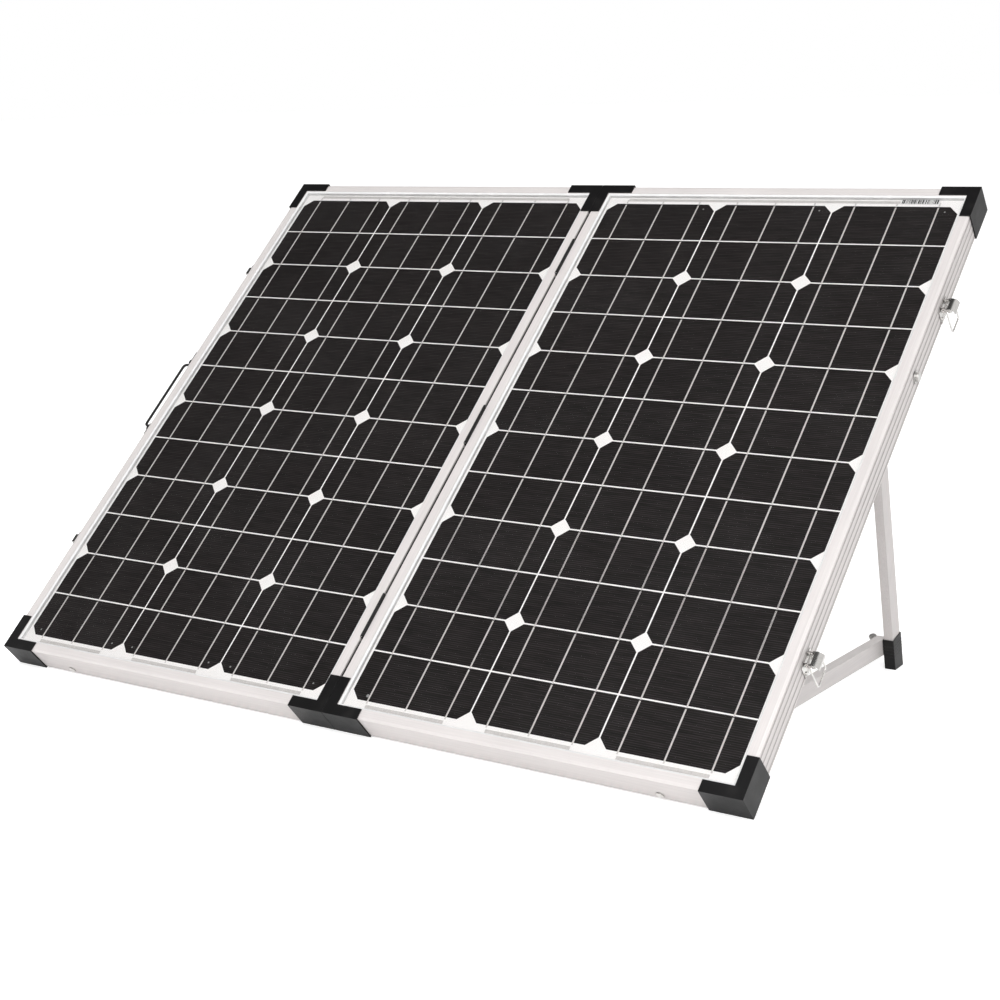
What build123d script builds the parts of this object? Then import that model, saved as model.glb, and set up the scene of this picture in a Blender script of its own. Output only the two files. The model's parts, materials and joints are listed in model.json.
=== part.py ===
from build123d import *
import math
import os

# A two-panel folding solar kit, open and standing on its rear legs.
# Each piece is first built in the panel's own frame: X across from the fold plane,
# Y up the panel from the frame's lower edge, Z out of the glass, with Z = 0 on the
# frame's front face. tilt_up() then leans the panel back and sets it on the ground.
# Pieces that exist on both sides are built for the right panel and mirrored.

# ---- Driving dimensions (millimetres, degrees) ----
TILT = 40.0
PANEL_W = 508.0
PANEL_L = 830.0
FRAME_D = 35.0
HALF_GAP = 2.0

WALL = 2.2
LIP_W = 12.5
LIP_T = 1.8
SHOULDER_W = 3.6
SHOULDER_DROP = 1.2
SHELF_T = 1.5
FLANGE_W = 25.0
FLANGE_T = 1.6
GROOVE_DEPTH = 0.7
GROOVE_W = 3.6
GROOVE_PITCH = 9.0
GROOVE_COUNT = 4
FIRST_GROOVE = 2.2
MOUNT_HOLE_R = 3.5
MOUNT_HOLE_IN = 15.0
MOUNT_HOLE_Y = (200.0, 630.0)

CAP_LEG = 46.5
CAP_SIDE = 1.6
CAP_FACE = 1.2
CAP_FLANGE = 12.0
KEY_LEG = 40.0
KEY_T = 5.0
KEY_FRONT = -12.0
KEY_BACK = -31.0

EDGE_PLAY = 0.8
GLASS_T = 3.2
FILM_T = 0.4
RIBBON_T = 0.15
CELL_T = 0.25
BACKSHEET_T = 0.5

CELL_W = 156.0
COLUMN_PITCH = 158.0
COLUMNS = 3
PAIR_PITCH = 130.0
PAIRS = 6
CELL_GAP = 2.0
CELL_CHAMFER = 11.5
BUSBARS = 3
BUSBAR_PITCH = 52.5
BUSBAR_W = 1.8
COLLECTOR_W = 4.0
COLLECTOR_GAP = 4.0
COLLECTOR_IN = 25.0

FOLD_Z = 1.7
KNUCKLE_R = 1.6
HINGE_PIN_R = 0.8
LEAF_T = 1.0
LEAF_DEPTH = 22.0
HINGE_L = 60.0
HINGE_END_KNUCKLE = 17.4
HINGE_Y = (130.0, 415.0, 700.0)

RUN_PLAY = 0.05
SIDE_PLAY = 0.2

LEG_Y = 553.0
PIVOT_Z = -20.5
LEG_ANGLE = 63.0
LEG_OUTER_X = 465.5
LEG_T = 11.0
LEG_W = 22.0
LEG_WALL = 1.5
FOOT_WALL = 1.2
FOOT_L = 42.0
SOLE_T = 6.0
LOCK_S = 350.0
BOLT_R = 3.0
BOLT_HEAD_R = 5.2
BOLT_HEAD_T = 3.4
WASHER_R = 7.0
WASHER_T = 1.2
NUT_T = 5.0

BRACE_Y = 60.0
BRACE_OUTER_X = 452.8
BRACE_T = 12.5
BRACE_W = 20.0
BRACE_WALL = 1.5
BRACKET_T = 2.0
BRACKET_X0 = 400.0
BRACKET_Z = (-32.0, -11.0)
EAR_R = 8.5
PIN_HEAD_R = 5.0
PIN_HEAD_T = 2.5
PIN_RIVET_T = 1.0
BRACKET_SCREW_X = 412.0
BRACKET_SCREW_Z = -28.0
BRACKET_SCREW_R = 2.5
BRACKET_SCREW_HEAD = (4.2, 1.4)
WING_BOSS_R = 5.0
WING_BOSS_T = 7.0
WING_REACH = 12.0
WING_T = 2.4

LATCH_Y = (173.0, 658.0)
LATCH_PLATE_T = 1.2
LATCH_PLATE_HALF = 13.0
LATCH_PLATE_Z = (-34.0, -16.0)
RIVET_R = 2.2
RIVET_T = 1.0
RIVET_OUT = 9.5
RIVET_Z = -29.5
PROTRUSION = 18.0
LATCH_PIN_OUT = 4.6
LATCH_PIN_Z = -17.0
LATCH_PIN_R = 1.5
EYE_R = 3.0
EAR_OUT = 6.0
EAR_T = 1.2
CHEEK_OUT = 8.0
CHEEK_T = 1.6
CHEEK_L = 9.0
LEVER_HALF_W = 8.8
BAIL_ARM = 5.0
BAIL_L = 31.5
BAIL_HALF_W = 12.0
BAIL_R = 1.0
BAIL_DROP = 0.6
CATCH_HALF_W = 9.0
CATCH_Z = (-22.0, -1.5)
CATCH_RIVET_Z = -16.0
HOOK_HALF_W = 6.0

HANDLE_Y = 424.5
HANDLE_L = 115.0
HANDLE_Z = -8.5
HANDLE_PIN_OUT = 5.0
HANDLE_PIN_R = 1.6
HANDLE_STUD_L = 5.0
HANDLE_BAR = (3.4, 4.6)
HANDLE_ARM_W = 4.0
HANDLE_EYE_R = 3.4
HANDLE_PLAY = 0.4
HANDLE_CHEEK_T = 4.0
HANDLE_CHEEK_R = 4.6
HANDLE_FOOT_L = 16.0
HANDLE_FOOT_T = 1.6
HANDLE_FOOT_HALF = 7.0
HANDLE_RIVET_IN = 10.5

BOX_Y = 745.0
BOX_SIZE = (110.0, 74.0, 18.0)
CONTROLLER_Y = 560.0
CONTROLLER_SIZE = (150.0, 90.0, 22.0)
CASE_WALL = 2.0
WINDOW_UP = 8.0
WINDOW_T = 1.6
BOARD_T = 1.6
POST_L = 6.0
POST_R = 2.5
POST_IN = 5.0
TERMINAL_BLOCK = (90.0, 10.0, 8.4)
JUNCTION_STRIP = (80.0, 12.0, 3.0)
DIODE_R = 2.7
DIODE_L = 10.0
DIODE_OUT = 20.0
BUTTON_SIZE = (12.0, 8.0)
BUTTON_X = (-28.0, 28.0)
BUTTON_DROP = 24.0
BUTTON_PROUD = 1.4
BUTTON_RIM = 1.2
WINDOW_SIZE = (64.0, 30.0)
CABLE_R = 2.5
LINK_X = 40.0
LINK_CROSS_Y = 660.0
LINK_RISE_X = 36.0
LINK_SIDE_X = 60.0
LINK_SIDE_Y = 585.0
LINK_END_X = 0.4
LEAD_TURN_Y = 400.0
LEAD_SIDE = 90.0
LEAD_END_Y = 300.0
PLUG_SIZE = (18.0, 38.0, 9.5)

# ---- Values worked out from the driving dimensions ----
SIN_T = math.sin(math.radians(TILT))
COS_T = math.cos(math.radians(TILT))
FRAME_X0 = HALF_GAP
FRAME_X1 = HALF_GAP + PANEL_W
MID_X = HALF_GAP + PANEL_W / 2
MID_Y = PANEL_L / 2

GLASS_TOP = -LIP_T
FILM_TOP = GLASS_TOP - GLASS_T
RIBBON_TOP = FILM_TOP - FILM_T
CELL_TOP = RIBBON_TOP - RIBBON_T
BACKSHEET_TOP = CELL_TOP - CELL_T
LAMINATE_BACK = BACKSHEET_TOP - BACKSHEET_T
CONTROLLER_BACK = LAMINATE_BACK - CONTROLLER_SIZE[2]
CABLE_LIE = LAMINATE_BACK - CABLE_R - SIDE_PLAY

HALF_CELL_L = (PAIR_PITCH - 2 * CELL_GAP) / 2
CELLS_W = COLUMN_PITCH * COLUMNS
CELLS_L = PAIR_PITCH * PAIRS
CELLS_X0 = MID_X - CELLS_W / 2
CELLS_Y0 = MID_Y - CELLS_L / 2

GROUND_Z = -CAP_SIDE * SIN_T - (FRAME_D + CAP_FACE) * COS_T
FRONT_Y = -CAP_SIDE * COS_T - CAP_FACE * SIN_T
REAR_Y = (PANEL_L + CAP_SIDE) * COS_T + (FRAME_D + CAP_FACE) * SIN_T

LEG_DIR = (-math.cos(math.radians(LEG_ANGLE)), -math.sin(math.radians(LEG_ANGLE)))
LEG_DROP = -(LEG_DIR[0] * SIN_T + LEG_DIR[1] * COS_T)
LEG_L = (LEG_Y * SIN_T + PIVOT_Z * COS_T - GROUND_Z) / LEG_DROP
LOCK_Y = LEG_Y + LEG_DIR[0] * LOCK_S
LOCK_Z = PIVOT_Z + LEG_DIR[1] * LOCK_S
BRACE_L = math.hypot(LOCK_Y - BRACE_Y, LOCK_Z - PIVOT_Z)
BRACE_ANGLE = math.degrees(math.atan2(PIVOT_Z - LOCK_Z, LOCK_Y - BRACE_Y))
LEG_INNER_X = LEG_OUTER_X - LEG_T
BRACE_INNER_X = BRACE_OUTER_X - BRACE_T
FAR = 2000.0


# ---- Small builders ----
def block(x0, x1, y0, y1, z0, z1):
    """A box between two corners."""
    low_corner = (Align.MIN, Align.MIN, Align.MIN)
    return Pos(x0, y0, z0) * Box(x1 - x0, y1 - y0, z1 - z0, align=low_corner)


def rod_x(x0, x1, y, z, radius):
    """A round bar along X."""
    bar = Cylinder(radius, x1 - x0, align=(Align.CENTER, Align.CENTER, Align.MIN))
    return Pos(x0, y, z) * Rot(Y=90) * bar


def rod_y(y0, y1, x, z, radius):
    """A round bar along Y."""
    bar = Cylinder(radius, y1 - y0, align=(Align.CENTER, Align.CENTER, Align.MIN))
    return Pos(x, y0, z) * Rot(X=-90) * bar


def rod_z(z0, z1, x, y, radius):
    """A round bar along Z."""
    bar = Cylinder(radius, z1 - z0, align=(Align.CENTER, Align.CENTER, Align.MIN))
    return Pos(x, y, z0) * bar


def prism_z(points, z0, z1):
    """A flat outline in X and Y, raised from z0 to z1."""
    outline = Polyline(*[(x, y, z0) for x, y in points], close=True)
    return extrude(make_face(outline), amount=z1 - z0, dir=(0, 0, 1))


def prism_y(points, y0, y1):
    """A flat outline in X and Z, drawn out along Y."""
    outline = Polyline(*[(x, y0, z) for x, z in points], close=True)
    return extrude(make_face(outline), amount=y1 - y0, dir=(0, 1, 0))


def hex_nut(x0, x1, y, z, across_flats):
    """A plain hexagon nut body along X."""
    corner_r = across_flats / math.sqrt(3)
    face = make_face(Polyline(*[
        (x0, y + corner_r * math.cos(k * math.pi / 3), z + corner_r * math.sin(k * math.pi / 3))
        for k in range(6)
    ], close=True))
    return extrude(face, amount=x1 - x0, dir=(1, 0, 0))


def tilt_up(shape):
    """Lean the panel frame back and set its lower rear edge on the ground."""
    return Pos(0, -(FRONT_Y + REAR_Y) / 2, -GROUND_Z) * Rot(X=TILT) * shape


def group(shapes):
    """Separate solids kept in one node."""
    return Compound(children=[solid for shape in shapes for solid in shape.solids()])


def write(name, shape):
    export_step(tilt_up(shape), "parts/" + name + ".step")


def write_pair(name, shapes):
    """The right-hand piece and its mirror image on the left panel."""
    right = group(shapes)
    write("right_" + name, right)
    write("left_" + name, group([mirror(right, about=Plane.YZ)]))


# ---- Panel frame ----
def rail(length, grooved, sloped):
    """One frame extrusion along +Y, outer wall on X = 0, mitred at both ends."""
    section = block(0, WALL, 0, length, -FRAME_D, 0)
    section += block(0, LIP_W, 0, length, -LIP_T, 0)
    shelf_top = LAMINATE_BACK - FILM_T / 4
    section += block(0, LIP_W, 0, length, shelf_top - SHELF_T, shelf_top)
    section += block(0, FLANGE_W, 0, length, -FRAME_D, -FRAME_D + FLANGE_T)
    if grooved:
        for k in range(GROOVE_COUNT):
            top = -FIRST_GROOVE - k * GROOVE_PITCH
            section -= block(-1, GROOVE_DEPTH, 0, length, top - GROOVE_W, top)
    if sloped:
        shoulder = prism_z([(-1, -SHOULDER_DROP), (0, -SHOULDER_DROP), (SHOULDER_W, 0),
                            (SHOULDER_W, 1), (-1, 1)], -length - 1, 1)
        section -= Rot(X=90) * shoulder
    reach = FLANGE_W + 1
    mitre = prism_z([(-1, -1), (reach, reach), (reach, length - reach), (-1, length + 1)],
                    -FRAME_D - 1, 1)
    return section & mitre


def long_rails():
    inner = Pos(FRAME_X0, 0, 0) * rail(PANEL_L, True, False)
    outer = Pos(FRAME_X1, PANEL_L, 0) * Rot(Z=180) * rail(PANEL_L, True, True)
    hole_top = -FRAME_D + FLANGE_T + 1
    for y in MOUNT_HOLE_Y:
        inner -= rod_z(-FRAME_D - 1, hole_top, FRAME_X0 + MOUNT_HOLE_IN, y, MOUNT_HOLE_R)
        outer -= rod_z(-FRAME_D - 1, hole_top, FRAME_X1 - MOUNT_HOLE_IN, y, MOUNT_HOLE_R)
    outer -= rod_x(FRAME_X1 - WALL - 1, FRAME_X1 + 1, LEG_Y, PIVOT_Z, BOLT_R)
    return [inner, outer]


def short_rails():
    lower = Pos(FRAME_X1, 0, 0) * Rot(Z=90) * rail(PANEL_W, False, True)
    upper = Pos(FRAME_X0, PANEL_L, 0) * Rot(Z=-90) * rail(PANEL_W, False, True)
    lower -= rod_y(-1, WALL + 1, BRACKET_SCREW_X, BRACKET_SCREW_Z, BRACKET_SCREW_R)
    return [lower, upper]


def at_corners(piece):
    """Copies of a lower-inner corner piece at the four corners of the panel."""
    spots = []
    for flip_x in (False, True):
        for flip_y in (False, True):
            copy = piece
            if flip_x:
                copy = mirror(copy, about=Plane.YZ.offset(MID_X))
            if flip_y:
                copy = mirror(copy, about=Plane.XZ.offset(-MID_Y))
            spots.append(copy)
    return spots


def corner_caps():
    """Moulded caps that wrap the corner's two walls, its front lip and its back."""
    body = block(-CAP_SIDE, CAP_LEG, -CAP_SIDE, CAP_LEG, -FRAME_D - CAP_FACE, CAP_FACE)
    body -= block(0, FAR, 0, FAR, -FRAME_D, 0)
    body -= block(CAP_FLANGE, FAR, CAP_FLANGE, FAR, -FAR, FAR)
    return at_corners(Pos(FRAME_X0, 0, 0) * body)


def corner_keys():
    """Angle keys inside the frame that hold the mitres together."""
    near = WALL
    far = WALL + KEY_T
    outline = [(near, near), (KEY_LEG, near), (KEY_LEG, far),
               (far, far), (far, KEY_LEG), (near, KEY_LEG)]
    return at_corners(Pos(FRAME_X0, 0, 0) * prism_z(outline, KEY_BACK, KEY_FRONT))


# ---- Laminate ----
def sheet(top, thickness):
    edge = WALL + EDGE_PLAY
    return block(FRAME_X0 + edge, FRAME_X1 - edge, edge, PANEL_L - edge, top - thickness, top)


def half_cell(lower):
    """One cell half; its two outer corners are cut off."""
    w = CELL_W
    h = HALF_CELL_L
    c = CELL_CHAMFER
    if lower:
        points = [(c, 0), (w - c, 0), (w, c), (w, h), (0, h), (0, c)]
    else:
        points = [(0, 0), (w, 0), (w, h - c), (w - c, h), (c, h), (0, h - c)]
    return prism_z(points, CELL_TOP - CELL_T, CELL_TOP)


def cells():
    lower_half = half_cell(True)
    upper_half = half_cell(False)
    found = []
    for column in range(COLUMNS):
        x = CELLS_X0 + column * COLUMN_PITCH + CELL_GAP / 2
        for pair in range(PAIRS):
            y = CELLS_Y0 + pair * PAIR_PITCH + CELL_GAP / 2
            found.append(Pos(x, y, 0) * lower_half)
            found.append(Pos(x, y + HALF_CELL_L + CELL_GAP, 0) * upper_half)
    return found


def ribbons():
    """Busbar strips down each column and the collector strips at both ends."""
    strips = []
    low = CELLS_Y0 - COLLECTOR_GAP
    high = CELLS_Y0 + CELLS_L + COLLECTOR_GAP
    for column in range(COLUMNS):
        middle = CELLS_X0 + (column + 0.5) * COLUMN_PITCH
        for k in range(BUSBARS):
            x = middle + (k - 1) * BUSBAR_PITCH
            strips.append(block(x - BUSBAR_W / 2, x + BUSBAR_W / 2, low, high,
                                RIBBON_TOP - RIBBON_T, RIBBON_TOP))
    for y in (low - COLLECTOR_W, high):
        strips.append(block(CELLS_X0 + COLLECTOR_IN, CELLS_X0 + CELLS_W - COLLECTOR_IN,
                            y, y + COLLECTOR_W, RIBBON_TOP - RIBBON_T, RIBBON_TOP))
    return strips


# ---- Fold hinges ----
def hinge_leaf(y, knuckle_spans):
    """A leaf on the frame wall with its own knuckles on the fold axis."""
    half = HINGE_L / 2
    leaf = block(HALF_GAP - LEAF_T, HALF_GAP, y - half, y + half, -LEAF_DEPTH, -SIDE_PLAY)
    for low, high in knuckle_spans:
        leaf += rod_y(y + low, y + high, 0, FOLD_Z, KNUCKLE_R)
        leaf += block(HALF_GAP - LEAF_T, HALF_GAP, y + low, y + high, -SIDE_PLAY, FOLD_Z)
    return leaf


def hinge_left_leaf(y):
    half = HINGE_L / 2
    spans = [(-half, HINGE_END_KNUCKLE - half), (half - HINGE_END_KNUCKLE, half)]
    leaf = mirror(hinge_leaf(y, spans), about=Plane.YZ)
    return leaf - rod_y(y - half - 1, y + half + 1, 0, FOLD_Z, HINGE_PIN_R)


def hinge_right_leaf(y):
    reach = HINGE_L / 2 - HINGE_END_KNUCKLE - SIDE_PLAY
    leaf = hinge_leaf(y, [(-reach, reach)])
    return leaf - rod_y(y - reach - 1, y + reach + 1, 0, FOLD_Z, HINGE_PIN_R + RUN_PLAY)


def hinge_pin(y):
    return rod_y(y - HINGE_L / 2, y + HINGE_L / 2, 0, FOLD_Z, HINGE_PIN_R)


# ---- Leg ----
def along_leg(shape):
    """A piece drawn with its pivot at the origin and its length on -Z, put on the leg."""
    lean = math.degrees(math.atan2(LEG_DIR[0], -LEG_DIR[1]))
    return Pos(0, LEG_Y, PIVOT_Z) * Rot(X=lean) * shape


def leg():
    """Rectangular tube with a rounded, solid pivot end."""
    half = LEG_W / 2
    bar = block(LEG_INNER_X, LEG_OUTER_X, -half, half, -LEG_L + SOLE_T, 0)
    bar += rod_x(LEG_INNER_X, LEG_OUTER_X, 0, 0, half)
    bar -= rod_x(LEG_INNER_X - 1, LEG_OUTER_X + 1, 0, 0, BOLT_R + RUN_PLAY)
    bar -= block(LEG_INNER_X + LEG_WALL, LEG_OUTER_X - LEG_WALL, LEG_WALL - half,
                 half - LEG_WALL, -LEG_L, -LEG_W)
    return along_leg(bar)


def leg_foot():
    """Moulded sleeve on the leg's end, cut level where it stands on the ground."""
    half = LEG_W / 2
    reach = half + FOOT_WALL
    sleeve = block(LEG_INNER_X - FOOT_WALL, LEG_OUTER_X + FOOT_WALL, -reach, reach,
                   -LEG_L - SOLE_T, FOOT_L - LEG_L)
    sleeve -= block(LEG_INNER_X, LEG_OUTER_X, -half, half, SOLE_T - LEG_L, 0)
    below_ground = Rot(X=-TILT) * block(-FAR, FAR, -FAR, FAR, -FAR, GROUND_Z)
    return along_leg(sleeve) - below_ground


def leg_bolt():
    """Pivot bolt through the frame wall, with its spacer tube, washers and nut."""
    def disc(x0, x1, radius):
        return rod_x(x0, x1, LEG_Y, PIVOT_Z, radius)

    washer_x = FRAME_X1 + WASHER_T
    inner_washer_x = LEG_INNER_X - SIDE_PLAY
    nut_x = inner_washer_x - WASHER_T
    bolt = disc(FRAME_X1, washer_x, WASHER_R)
    bolt += disc(washer_x, washer_x + BOLT_HEAD_T, BOLT_HEAD_R)
    bolt += disc(nut_x - NUT_T - BOLT_R / 2, FRAME_X1, BOLT_R)
    bolt += disc(LEG_OUTER_X + SIDE_PLAY, FRAME_X1 - WALL, BOLT_HEAD_R)
    bolt += disc(nut_x, inner_washer_x, WASHER_R)
    return bolt + hex_nut(nut_x - NUT_T, nut_x, LEG_Y, PIVOT_Z, 2 * BOLT_HEAD_R)


# ---- Brace ----
def along_brace(shape):
    """A piece drawn with its pivot at the origin and its length on +Y, put on the brace."""
    return Pos(0, BRACE_Y, PIVOT_Z) * Rot(X=-BRACE_ANGLE) * shape


def round_bar(x0, x1, length, radius):
    """A flat bar along +Y with round ends."""
    bar = block(x0, x1, 0, length, -radius, radius)
    bar += rod_x(x0, x1, 0, 0, radius)
    return bar + rod_x(x0, x1, length, 0, radius)


def brace():
    """Channel with its web on the leg side and its flanges pointing inboard."""
    half = BRACE_W / 2
    web_x = BRACE_OUTER_X - BRACE_WALL
    bar = round_bar(BRACE_INNER_X, BRACE_OUTER_X, BRACE_L, half)
    bar -= round_bar(BRACE_INNER_X - 1, web_x, BRACE_L, half - BRACE_WALL)
    bar -= rod_x(web_x - 1, BRACE_OUTER_X + 1, 0, 0, BOLT_R + RUN_PLAY)
    bar -= rod_x(web_x - 1, BRACE_OUTER_X + 1, BRACE_L, 0, BOLT_R + RUN_PLAY)
    return along_brace(bar)


def brace_bracket():
    """Angle bracket on the lower rail with the ear that carries the brace."""
    ear_x1 = BRACE_INNER_X - SIDE_PLAY
    ear_x0 = ear_x1 - BRACKET_T
    plate_y = WALL + BRACKET_T
    bracket = block(BRACKET_X0, ear_x1, WALL, plate_y, *BRACKET_Z)
    bracket += block(ear_x0, ear_x1, WALL, BRACE_Y, PIVOT_Z - EAR_R, PIVOT_Z + EAR_R)
    bracket += rod_x(ear_x0, ear_x1, BRACE_Y, PIVOT_Z, EAR_R)
    bracket -= rod_x(ear_x0 - 1, ear_x1 + 1, BRACE_Y, PIVOT_Z, BOLT_R)
    return bracket - rod_y(WALL - 1, plate_y + 1, BRACKET_SCREW_X, BRACKET_SCREW_Z,
                           BRACKET_SCREW_R)


def brace_pin():
    """Headed pivot pin of the brace, riveted over on the outer side."""
    ear_x0 = BRACE_INNER_X - SIDE_PLAY - BRACKET_T
    outer_x = BRACE_OUTER_X + SIDE_PLAY
    pin = rod_x(ear_x0 - PIN_HEAD_T, outer_x, BRACE_Y, PIVOT_Z, BOLT_R)
    pin += rod_x(ear_x0 - PIN_HEAD_T, ear_x0, BRACE_Y, PIVOT_Z, PIN_HEAD_R)
    return pin + rod_x(outer_x, outer_x + PIN_RIVET_T, BRACE_Y, PIVOT_Z, PIN_HEAD_R)


def bracket_screw():
    """Pan-head screw through the lower rail into the brace bracket."""
    head_r, head_t = BRACKET_SCREW_HEAD
    tip_y = WALL + BRACKET_T + BOLT_R
    screw = rod_y(-head_t, 0, BRACKET_SCREW_X, BRACKET_SCREW_Z, head_r)
    return screw + rod_y(0, tip_y, BRACKET_SCREW_X, BRACKET_SCREW_Z, BRACKET_SCREW_R)


def wing_screw():
    """Captive wing screw, backed out flush so that the leg is free to fold."""
    head_x = BRACE_INNER_X - SIDE_PLAY
    tip_x = head_x - WING_REACH
    half_t = WING_T / 2
    screw = rod_x(head_x, BRACE_OUTER_X - SIDE_PLAY, 0, 0, BOLT_R)
    screw += rod_x(head_x - WING_BOSS_T, head_x, 0, 0, WING_BOSS_R)
    for side in (-1, 1):
        wing = block(tip_x, tip_x + 2 * WING_BOSS_R, 0, WING_BOSS_R + 1, -half_t, half_t)
        wing += Pos(tip_x + 3, WING_BOSS_R + 1.5, 0) * Cylinder(WING_BOSS_R, WING_T)
        screw += Rot(X=90 - side * 90) * wing
    return along_brace(Pos(0, BRACE_L, 0) * screw)


# ---- Toggle latches ----
def rivet(x, y, z):
    return rod_x(x, x + RIVET_T, y, z, RIVET_R)


def latch_base(y):
    """Wall plate with two ears that carry the lever pin."""
    face_x = FRAME_X1 + LATCH_PLATE_T
    pin_x = FRAME_X1 + LATCH_PIN_OUT
    plate = block(FRAME_X1, face_x, y - LATCH_PLATE_HALF, y + LATCH_PLATE_HALF, *LATCH_PLATE_Z)
    for side in (-1, 1):
        low = y + side * EAR_OUT - EAR_T / 2
        high = low + EAR_T
        plate += block(FRAME_X1, pin_x, low, high, LATCH_PIN_Z - EYE_R, LATCH_PIN_Z + EYE_R)
        plate += rod_y(low, high, pin_x, LATCH_PIN_Z, EYE_R)
        plate += rivet(face_x, y + side * RIVET_OUT, RIVET_Z)
    return plate - rod_y(y - CHEEK_OUT, y + CHEEK_OUT, pin_x, LATCH_PIN_Z, LATCH_PIN_R)


def latch_pin(y):
    reach = CHEEK_OUT + CHEEK_T
    return rod_y(y - reach, y + reach, FRAME_X1 + LATCH_PIN_OUT, LATCH_PIN_Z, LATCH_PIN_R)


def latch_lever(y):
    """Open lever that stands out from the wall, with cheeks outside the ears."""
    pin_x = FRAME_X1 + LATCH_PIN_OUT
    tip_x = FRAME_X1 + PROTRUSION
    bend_x = pin_x + CHEEK_L
    top = LATCH_PIN_Z + EYE_R
    web = [(pin_x + 4.2, top - 1.2), (bend_x, top - 1.2), (tip_x - 2.0, top - 3.8),
           (tip_x, top - 7.0), (tip_x, top - 5.4), (tip_x - 1.6, top - 2.2),
           (bend_x + 0.4, top), (pin_x + 4.2, top)]
    lever = prism_y(web, y - LEVER_HALF_W, y + LEVER_HALF_W)
    for side in (-1, 1):
        low = y + side * CHEEK_OUT - CHEEK_T / 2
        high = low + CHEEK_T
        lever += block(pin_x, bend_x, low, high, LATCH_PIN_Z - EYE_R, top)
        lever += rod_y(low, high, pin_x, LATCH_PIN_Z, EYE_R)
    reach = LEVER_HALF_W + 1
    lever -= rod_y(y - reach, y + reach, pin_x, LATCH_PIN_Z, LATCH_PIN_R + RUN_PLAY)
    return lever - rod_y(y - reach, y + reach, pin_x + BAIL_ARM, LATCH_PIN_Z - BAIL_DROP,
                         BAIL_R + RUN_PLAY)


def latch_bail(y):
    """Closed wire loop carried in the lever's cheeks, hanging towards the back."""
    x = FRAME_X1 + LATCH_PIN_OUT + BAIL_ARM
    top = LATCH_PIN_Z - BAIL_DROP
    loop = rod_y(y - BAIL_HALF_W, y + BAIL_HALF_W, x, top, BAIL_R)
    loop += rod_y(y - BAIL_HALF_W, y + BAIL_HALF_W, x, top - BAIL_L, BAIL_R)
    for side in (-1, 1):
        arm_y = y + side * BAIL_HALF_W
        loop += rod_z(top - BAIL_L, top, x, arm_y, BAIL_R)
        loop += Pos(x, arm_y, top) * Sphere(BAIL_R)
        loop += Pos(x, arm_y, top - BAIL_L) * Sphere(BAIL_R)
    return loop


def latch_catch(y):
    """Hooked plate on the left panel's outer wall that the closed loop drops over."""
    base = FRAME_X1 + LATCH_PLATE_T
    plate = block(FRAME_X1, base, y - CATCH_HALF_W, y + CATCH_HALF_W, *CATCH_Z)
    hook = [(base, -3.6), (base + 6.4, -3.6), (base + 7.4, -4.6), (base + 7.4, -7.0),
            (base + 6.0, -7.0), (base + 6.0, -5.0), (base, -5.0)]
    plate += prism_y(hook, y - HOOK_HALF_W, y + HOOK_HALF_W)
    for side in (-1, 1):
        plate += rivet(base, y + side * CATCH_HALF_W / 2, CATCH_RIVET_Z)
    return plate


# ---- Carry handle ----
def span(start, length, side):
    """Low and high ends of a stretch that starts at start and runs to one side."""
    return sorted((start, start + side * length))


def handle_bracket(side):
    """Cheek on the left panel's outer wall with its foot, rivet and pivot stud."""
    end = HANDLE_Y + side * (HANDLE_L / 2 + HANDLE_PLAY)
    pin_x = FRAME_X1 + HANDLE_PIN_OUT
    foot_x = FRAME_X1 + HANDLE_FOOT_T
    low, high = span(end, HANDLE_CHEEK_T, side)
    foot_low, foot_high = span(end, HANDLE_FOOT_L, side)
    stud_low, stud_high = span(end, HANDLE_STUD_L, -side)
    cheek = block(FRAME_X1, pin_x, low, high, HANDLE_Z - HANDLE_CHEEK_R,
                  HANDLE_Z + HANDLE_CHEEK_R)
    cheek += rod_y(low, high, pin_x, HANDLE_Z, HANDLE_CHEEK_R)
    cheek += block(FRAME_X1, foot_x, foot_low, foot_high, HANDLE_Z - HANDLE_FOOT_HALF,
                   HANDLE_Z + HANDLE_FOOT_HALF)
    cheek += rod_y(stud_low, stud_high, pin_x, HANDLE_Z, HANDLE_PIN_R)
    return cheek + rivet(foot_x, end + side * HANDLE_RIVET_IN, HANDLE_Z)


def handle_grip():
    """Slim U-shaped grip that swings on the bracket studs."""
    x0 = FRAME_X1 + HANDLE_PIN_OUT
    x1 = FRAME_X1 + PROTRUSION
    bar_t, bar_w = HANDLE_BAR
    half = HANDLE_L / 2
    grip = block(x1 - bar_t, x1, HANDLE_Y - half, HANDLE_Y + half, HANDLE_Z - bar_w / 2,
                 HANDLE_Z + bar_w / 2)
    grip = fillet(grip.edges().filter_by(Axis.Y), bar_t * 0.4)
    for side in (-1, 1):
        low, high = span(HANDLE_Y + side * half, HANDLE_ARM_W, -side)
        arm = block(x0, x1 - bar_t / 2, low, high, HANDLE_Z - bar_w / 2, HANDLE_Z + bar_w / 2)
        arm += rod_y(low, high, x0, HANDLE_Z, HANDLE_EYE_R)
        arm -= rod_y(low - 1, high + 1, x0, HANDLE_Z, HANDLE_PIN_R + RUN_PLAY)
        grip += arm
    return grip


# ---- Junction boxes, controller and cables ----
def open_box(x, y, size, wall):
    """A tray on the back of the laminate, open to the rear."""
    half_w = size[0] / 2
    half_l = size[1] / 2
    back = LAMINATE_BACK - size[2]
    tray = block(x - half_w, x + half_w, y - half_l, y + half_l, back, LAMINATE_BACK)
    return tray - block(x - half_w + wall, x + half_w - wall, y - half_l + wall,
                        y + half_l - wall, back - 1, LAMINATE_BACK - wall)


def lid(x, y, size, thickness):
    """A plate that closes a tray from the rear."""
    half_w = size[0] / 2
    half_l = size[1] / 2
    back = LAMINATE_BACK - size[2]
    return block(x - half_w, x + half_w, y - half_l, y + half_l, back - thickness, back)


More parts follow.
